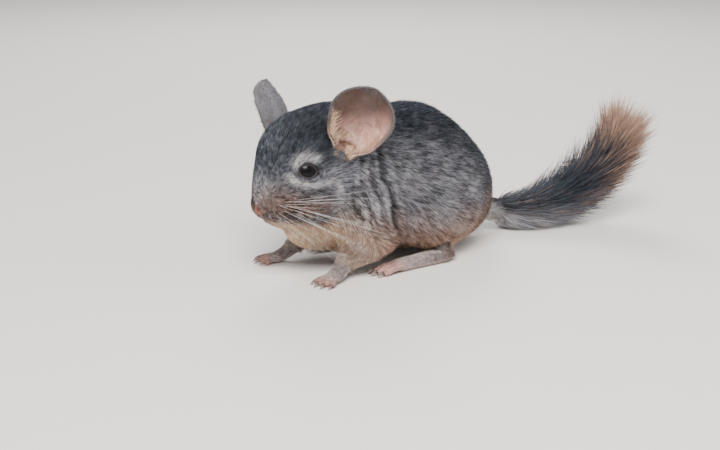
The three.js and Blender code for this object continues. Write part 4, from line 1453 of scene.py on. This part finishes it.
@dataclass
class Whiskers:
    """Long stiff hairs from the muzzle's pads and over the eyes."""

    rows: int = 5
    columns: int = 5
    longest: float = 59.0
    steps: int = 12
    seed: int = 8
    pale_share: float = 0.72
    brow_whiskers: int = 4
    brow_length: float = 17.0
    brow_width: float = 0.14

    def build(self, finish: bpy.types.Material) -> None:
        """Builds all the whiskers in one piece."""
        paths, tints, widths = [], [], []
        for side in Side:
            rng = np.random.default_rng(self.seed)
            for n in range(self.rows * self.columns):
                row, column = n % self.rows, n // self.rows
                paths.append(self.whisker(side.sign, row, column, rng))
                pale = rng.random() < self.pale_share
                colour = shade("white") if pale else shade("dark") * 1.2
                tints.append(np.tile(colour, (self.steps, 1)))
                widths.append(rng.uniform(0.08, 0.13))
            for n in range(self.brow_whiskers):
                root = np.array([22.0 + 2.2 * n, side.sign * (12.0 + 0.8 * n), 56.0 + 0.5 * n])
                out = unit(np.array([-0.2 + 0.3 * n, side.sign * 0.8, 0.75]))
                t = np.linspace(0, 1, self.steps)[:, None]
                bend = np.array([0.35, 0.0, -0.10]) * t**2
                paths.append(root + self.brow_length * (out * t + bend))
                tints.append(np.tile(shade("dark") * 1.2, (self.steps, 1)))
                widths.append(self.brow_width)
        taper = np.linspace(1.0, 0.35, self.steps - 1)
        side = np.tile([0.0, 0.0, 1.0], (len(paths), 1))
        order = np.arange(len(paths))
        spots = patches((order % 8 + 0.5) / 8, (order // 8 + 0.5) / 8)
        piece = strands("whiskers", side, np.array(paths), np.array(widths), taper, np.array(tints), spots)
        keep(piece, finish, "coat")

    def whisker(self, sign: float, row: int, column: int, rng: np.random.Generator) -> Array:
        """One whisker of the muzzle, which leaves sideways and sweeps back.

        Args:
            sign: the animal's side.
            row: its row, from the top.
            column: its column, from the front.
            rng: the source of chance.

        Returns:
            The points along it.
        """
        rise = 0.20 - 0.72 * row / (self.rows - 1) + rng.normal(0, 0.09)
        out = unit(np.array([-0.05 + 0.13 * column + rng.normal(0, 0.07), sign, rise]))
        back = unit(np.array([0.9, 0.42 * sign, rise - 0.22 + rng.normal(0, 0.08)]))
        length = self.longest * rng.uniform(0.55, 1.0) * (0.80 + 0.05 * column)
        root = np.array([14.2 + 1.75 * column, sign * (6.6 + 0.75 * column), 37.4 - 1.35 * row])
        root = root + rng.normal(0, 0.22, 3)
        t = np.linspace(0, 1, self.steps)[:, None]
        curve = root + length * (out * (0.95 * t - 0.42 * t**2) + back * 0.52 * t**2)
        curve[:, 2] = np.maximum(curve[:, 2], 0.8)
        return curve


# Feet

@dataclass
class Foot:
    """One foot with its toes, pads and claws."""

    name: str
    back: tuple[float, ...]
    toes: tuple[float, ...]
    tips: tuple[tuple[float, float], ...]
    voxel: float = 0.42
    toe_radius: float = 1.5
    furred: float = 1.1
    tufts: int = 9000
    tuft_width: float = 0.24

    @property
    def hind(self) -> bool:
        """Whether this is a hind foot."""
        return self.name.startswith("hindfoot")

    def frame(self) -> tuple[Array, Array]:
        """The foot's way forward and outward on the floor."""
        forward = np.array(self.toes) - np.array(self.back)
        forward[2] = 0.0
        forward = unit(forward)
        return forward, np.cross([0.0, 0.0, 1.0], forward)

    def along(self, p: Array) -> Array:
        """How far forward of the wrist or heel each point is."""
        return (p - np.array(self.back)) @ self.frame()[0]

    def build(self, finishes: Finishes) -> None:
        """Builds the skin, the claws and the short fur of the foot."""
        piece = joined_copy(f"{self.name}_skin", {self.name: 0.0})
        remeshed(piece, self.voxel)
        points = read_points(piece)
        edges = read_edges(piece)
        points = relaxed(points, edges, 4, np.where(points[:, 2] > 0.4, 0.5, 0.0))
        write_points(piece, points)
        unwrapped(piece, 0.004)
        points, normals = read_points(piece), read_normals(piece)
        paint(piece, self.colours(points, normals))
        keep(piece, finishes.foot, "foot", self.name)
        self.grow_fur(piece, finishes.coat)
        self.grow_claws(finishes.claw)

    def reach(self) -> float:
        """The foot's whole length."""
        return max(tip for tip, _ in self.tips)

    def colours(self, p: Array, normals: Array) -> Array:
        """Pinkish toes and pads, a greyer top, and painted shade at the back of the hind foot."""
        along = self.along(p) / self.reach()
        toes = ease(0.55, 0.85, along)
        colour = mix(shade("foot_grey"), shade("toe_pink"), toes)
        # Painted shade at the back of the hind foot, under the haunch.
        heel = (1 - ease(0.0, 0.20, along)) * self.hind
        colour = mix(colour, shade("brown") * 0.7, 0.7 * heel)
        under = 1.0 - ease(-0.7, -0.2, normals[:, 2])
        colour = mix(colour, shade("brown") * 1.4, 0.55 * under)
        return colour * (0.8 + 0.25 * Grain(4).values(p, 1.2))[:, None]

    def grow_fur(self, piece: bpy.types.Object, finish: bpy.types.Material) -> None:
        """Covers the top of the foot with short fine fur."""
        surface = surface_of(piece)
        rng = np.random.default_rng(17)
        along = self.along(surface.points) / self.reach()
        weight = (1.05 - ease(0.55, 0.95, along)) * ease(-0.25, 0.2, surface.normals[:, 2])
        weight = weight * ease(0.6, 1.4, surface.points[:, 2])
        place, normal, unwrap = surface.scatter(np.maximum(weight, 1e-6), self.tufts, rng)
        forward, _ = self.frame()
        way = forward + rng.normal(0, 0.2, place.shape) - [0, 0, 0.2]
        way = unit(way - normal * (way * normal).sum(1, keepdims=True))
        share = self.along(place) / self.reach()
        length = (0.7 + self.furred * 1.6 * (1 - ease(0.0, 0.7, share))) * rng.uniform(0.7, 1.3, len(place))
        lift = np.radians(rng.uniform(10, 28, len(place)))
        reach = np.cos(lift)[:, None] * way + np.sin(lift)[:, None] * normal
        tip = place + reach * length[:, None]
        tip[:, 2] = np.maximum(tip[:, 2], 0.15)
        grey = 0.60 * shade("silver") + 0.22 * shade("cream")
        # Painted shade on the fur at the back of the hind foot.
        grey = mix(grey, shade("brown") * 0.8, 0.7 * (1 - ease(0.0, 0.22, share)) * self.hind)
        base = mix(grey, shade("toe_pink") * 1.1, ease(0.5, 0.9, share))
        clump = 1.0 + 0.45 * Grain(6).values(place, 0.9)[:, None]
        colour = base * rng.uniform(0.35, 1.45, (len(place), 1)) * clump
        tint = np.stack([colour * 0.75, colour], axis=1)
        paths = np.stack([place - normal * 0.1, tip], axis=1)
        tufts = strands(
            f"{self.name}_fur", normal, paths, np.full(len(place), self.tuft_width),
            np.array([1.0]), tint, unwrap,
        )
        keep(tufts, finish, "coat")

    def grow_claws(self, finish: bpy.types.Material) -> None:
        """Builds a small curved claw on each toe."""
        forward, outward = self.frame()
        base = np.array([self.back[0], self.back[1], 0.0])
        paths = []
        for tip, across in self.tips:
            rows = []
            for step, height in ((-1.6, 1.5), (-0.2, 1.55), (1.0, 1.15), (2.0, 0.35)):
                rise = [0, 0, height * self.toe_radius / 1.5]
                rows.append(base + forward * (tip + step) + outward * across + rise)
            paths.append(rows)
        count = len(paths)
        shades = np.array([[0.10, 0.07, 0.065], [0.16, 0.11, 0.10], [0.24, 0.17, 0.15], [0.34, 0.26, 0.24]])
        tint = np.tile(shades, (count, 1, 1))
        side = np.tile([0.0, 0.0, 1.0], (count, 1))
        piece = strands(
            f"{self.name}_claws", side, np.array(paths), np.full(count, self.toe_radius),
            np.array([1.0, 0.95, 0.6]), tint, patches((np.arange(count) + 0.5) / count, np.full(count, 0.5)),
        )
        keep(piece, finish, "foot")


# Tail

def round_the_tail(heading: Array) -> tuple[Array, Array]:
    """Two directions square to the tail and to each other."""
    across = unit(np.cross([0.0, 1.0, 0.0], heading))
    return across, np.cross(heading, across)


@dataclass
class Brush:
    """The tail's long coarse hair on its core."""

    under_hairs: int = 11000
    guard_hairs: int = 10000
    seed: int = 44
    hair_depth: float = 1.4

    def radius(self, t: Array) -> Array:
        """The core's radius without its hair."""
        taper = (TAIL_TIP_RADIUS - TAIL_ROOT_RADIUS) * np.asarray(t, float)
        return TAIL_ROOT_RADIUS + taper - self.hair_depth

    def build(self, finishes: Finishes) -> None:
        """Builds the core and two coats of hair."""
        rows, sides = 60, 20
        t = np.linspace(BRUSH_START - 0.06, 1.0, rows)
        centre, heading = TAIL.at(t), TAIL.heading(t)
        across, upward = round_the_tail(heading)
        angle = np.linspace(0, 2 * np.pi, sides, endpoint=False)
        close = np.sqrt(np.clip(1 - ease(0.94, 1.0, t) ** 2 * 0.98, 0.02, 1))
        size = (self.radius(t) * close)[:, None, None]
        ring = centre[:, None] + size * (
            np.cos(angle)[None, :, None] * across[:, None] + np.sin(angle)[None, :, None] * upward[:, None]
        )
        piece = tube("tail_core", ring, loop=False)
        paint(piece, np.tile(shade("brown") * 0.6, (len(piece.data.vertices), 1)))
        keep(piece, finishes.skin, "brush", "tail_brush")
        rng = np.random.default_rng(self.seed)
        self.grow("brush_under", self.under_hairs, (8.0, 15.0), 0.42, 30.0, rng, finishes.brush)
        self.grow("brush_guard", self.guard_hairs, (16.0, 23.0), 0.34, 34.0, rng, finishes.brush)

    def grow(
        self, name: str, count: int, lengths: tuple[float, float], width: float, splay: float,
        rng: np.random.Generator, finish: bpy.types.Material,
    ) -> None:
        """Grows one coat of hair down the tail.

        Args:
            name: the piece's name.
            count: how many hairs.
            lengths: the hair's length at the brush's start and end.
            width: each hair's width.
            splay: the angle at which they leave the tail, in degrees.
            rng: the source of chance.
            finish: the hair's material.
        """
        place = rng.uniform(0.0, 1.0, count) ** 0.85
        t = BRUSH_START - 0.05 + (1.045 - BRUSH_START) * place
        t = np.minimum(t, 0.995)
        centre, heading = TAIL.at(t), TAIL.heading(t)
        across, upward = round_the_tail(heading)
        angle = rng.uniform(0, 2 * np.pi, count)[:, None]
        out = across * np.cos(angle) + upward * np.sin(angle)
        over = np.maximum.reduce([np.zeros(count), out[:, 2], -out[:, 0]]) * np.sin(np.pi * place)
        under = np.maximum(0, -out[:, 2]) * (1 - place)
        length = (lengths[0] + (lengths[1] - lengths[0]) * np.minimum(1, place * 1.3))
        length = length * rng.uniform(0.7, 1.15, count) * (1 + 0.25 * over)
        lean = np.radians(splay * rng.uniform(0.45, 1.3, count) * (1.12 + 0.6 * over - 0.30 * under))
        away = np.cos(lean)[:, None] * heading + np.sin(lean)[:, None] * out
        away = unit(away + rng.normal(0, 0.07, away.shape))
        bent = unit(away * 0.62 + heading * 0.38 + rng.normal(0, 0.06, away.shape))
        start = centre + out * (self.radius(t) - 0.6)[:, None]
        middle = start + away * (0.45 * length)[:, None]
        tip = middle + bent * (0.55 * length)[:, None]
        paths = np.stack([start, middle, tip], axis=1)
        paths[:, :, 2] = np.maximum(paths[:, :, 2], 0.3)
        tint = self.colours(place, out, count, rng)
        spots = patches(angle[:, 0] / (2 * np.pi), t)
        widths = width * rng.uniform(0.7, 1.2, count)
        piece = strands(name, out, paths, widths, np.array([1.0, 0.85]), tint, spots)
        keep(piece, finish, "brush")

    def colours(self, place: Array, out: Array, count: int, rng: np.random.Generator) -> Array:
        """Grey at the brush's start, a dark streak above and warm pale tips."""
        top = ease(-0.15, 0.6, out[:, 2] - 0.5 * out[:, 0])
        grey = mix(shade("silver") * 0.75, shade("slate") * 1.3, ease(0.10, 0.45, place))
        warm_grey = mix(grey, shade("brown") * 0.62, 0.75 * ease(0.3, 0.7, place))
        streak = top * (1 - ease(0.72, 0.98, place))
        base = mix(warm_grey, shade("dark") * 1.5, 0.85 * streak)
        base = base * rng.uniform(0.55, 1.35, (count, 1))
        tip_share = (0.12 + 0.80 * ease(0.45, 0.95, place)) * (1 - 0.6 * streak)
        warm = rng.random(count) < tip_share
        tip = shade("tail_tip") * rng.uniform(0.5, 1.15, (count, 1))
        end = np.where(warm[:, None], tip, base * 1.15)
        root = base * 0.55
        return np.stack([root, mix(base, end, np.full(count, 0.20)), end], 1)


# The studio

@dataclass
class Studio:
    """A pale floor, soft lights and the camera at the photo's angle."""

    camera_at: tuple[float, ...] = (-245.6, -416.7, 171.8)
    camera_way: tuple[float, ...] = (0.572, 0.769, -0.286)
    lens: float = 59.15

    def build(self) -> None:
        """Builds everything round the animal."""
        self.build_floor()
        self.build_lights()
        self.build_camera()

    def build_floor(self) -> None:
        """Lays the floor under the soles."""
        deselect_all()
        bpy.ops.mesh.primitive_plane_add(size=6.0, location=(0, 0, 0))
        floor = bpy.context.object
        floor.name = "studio_floor"
        floor.data.materials.append(FloorFinish().make())

    def build_lights(self) -> None:
        """Places a large soft key light, a fill and a rim light, and a pale sky."""
        lights = (
            ("key", (-0.45, -0.55, 0.85), 0.55, 21.0, (1.0, 0.96, 0.91)),
            ("fill", (0.75, -0.65, 0.45), 0.9, 4.0, (0.97, 0.98, 1.0)),
            ("rim", (0.45, 0.75, 0.80), 0.5, 9.0, (1.0, 0.97, 0.94)),
        )
        for name, place, size, power, colour in lights:
            deselect_all()
            bpy.ops.object.light_add(type="AREA", location=place)
            light = bpy.context.object
            light.name = f"{name}_light"
            light.data.shape = "SQUARE"
            light.data.size = size
            light.data.energy = power
            light.data.color = colour
            aim = Vector((0.0, 0.0, 0.035)) - Vector(place)
            light.rotation_euler = aim.to_track_quat("-Z", "Y").to_euler()
        world = bpy.data.worlds.new("studio_sky")
        world.use_nodes = True
        world.node_tree.nodes["Background"].inputs["Color"].default_value = (0.93, 0.94, 1.0, 1.0)
        world.node_tree.nodes["Background"].inputs["Strength"].default_value = 0.55
        bpy.context.scene.world = world

    def build_camera(self) -> None:
        """Sets the camera where the photo was taken from."""
        deselect_all()
        bpy.ops.object.camera_add(location=tuple(packed(np.array(self.camera_at))))
        camera = bpy.context.object
        camera.name = "camera"
        camera.data.lens = self.lens
        camera.data.sensor_width = 36.0
        camera.data.sensor_fit = "HORIZONTAL"
        camera.data.clip_start = 0.01
        camera.data.clip_end = 50.0
        camera.rotation_euler = Vector(self.camera_way).to_track_quat("-Z", "Y").to_euler()
        bpy.context.scene.camera = camera


def foot_tips(
    length: float, half: float, fans: tuple[float, ...], fall: float
) -> tuple[tuple[float, float], ...]:
    """Where each toe of a foot ends.

    Args:
        length: the foot's length.
        half: half the spread of the toes.
        fans: each toe's place across the foot, from -1 to 1.
        fall: how much shorter the outer toes are.

    Returns:
        For each toe, how far forward and how far out its tip is.
    """
    return tuple((length - abs(fan) * fall, fan * half) for fan in fans)


def feet() -> list[Foot]:
    """The four feet."""
    made = []
    for side in Side:
        outside = -side.sign
        made.append(Foot(
            f"forepaw_{side.value}", WRISTS[side.value], FORE_TOES[side.value],
            foot_tips(17.0, 5.05, (-1.0, -1 / 3, 1 / 3, 1.0), 2.2),
        ))
        fans = tuple(outside * (n * 0.85 - 0.55) for n in range(3))
        tips = foot_tips(44.0, 3.75, fans, 1.6) + ((35.2, -outside * 1.1 * 3.75),)
        made.append(Foot(
            f"hindfoot_{side.value}", HEELS[side.value], HIND_TOES[side.value], tips, toe_radius=1.9,
            furred=1.3,
        ))
    return made


def triangle_count() -> int:
    """The triangles of every visible mesh together."""
    total = 0
    for piece in bpy.data.objects:
        if piece.type == "MESH" and not piece.hide_render:
            piece.data.calc_loop_triangles()
            total += len(piece.data.loop_triangles)
    return total


def main() -> None:
    """Builds the animal, logs its triangles, then builds the studio round it."""
    logging.basicConfig(level=logging.INFO, format="%(name)s %(message)s", force=True)
    finishes = Finishes()
    coat_map = CoatMap()
    skin = Skin(coat_map)
    skin.build(finishes.skin)
    Coat(coat_map).build(surface_of(skin.piece), finishes.coat)
    for ear in EARS:
        ear.build(finishes.ear, finishes.coat)
    for side in Side:
        Eye(side).build(finishes)
    NosePad().build(finishes.nose)
    Whiskers().build(finishes.whisker)
    for foot in feet():
        foot.build(finishes)
    Brush().build(finishes)
    log.info("%d triangles in all", triangle_count())
    Studio().build()


if __name__ == "__main__":
    main()
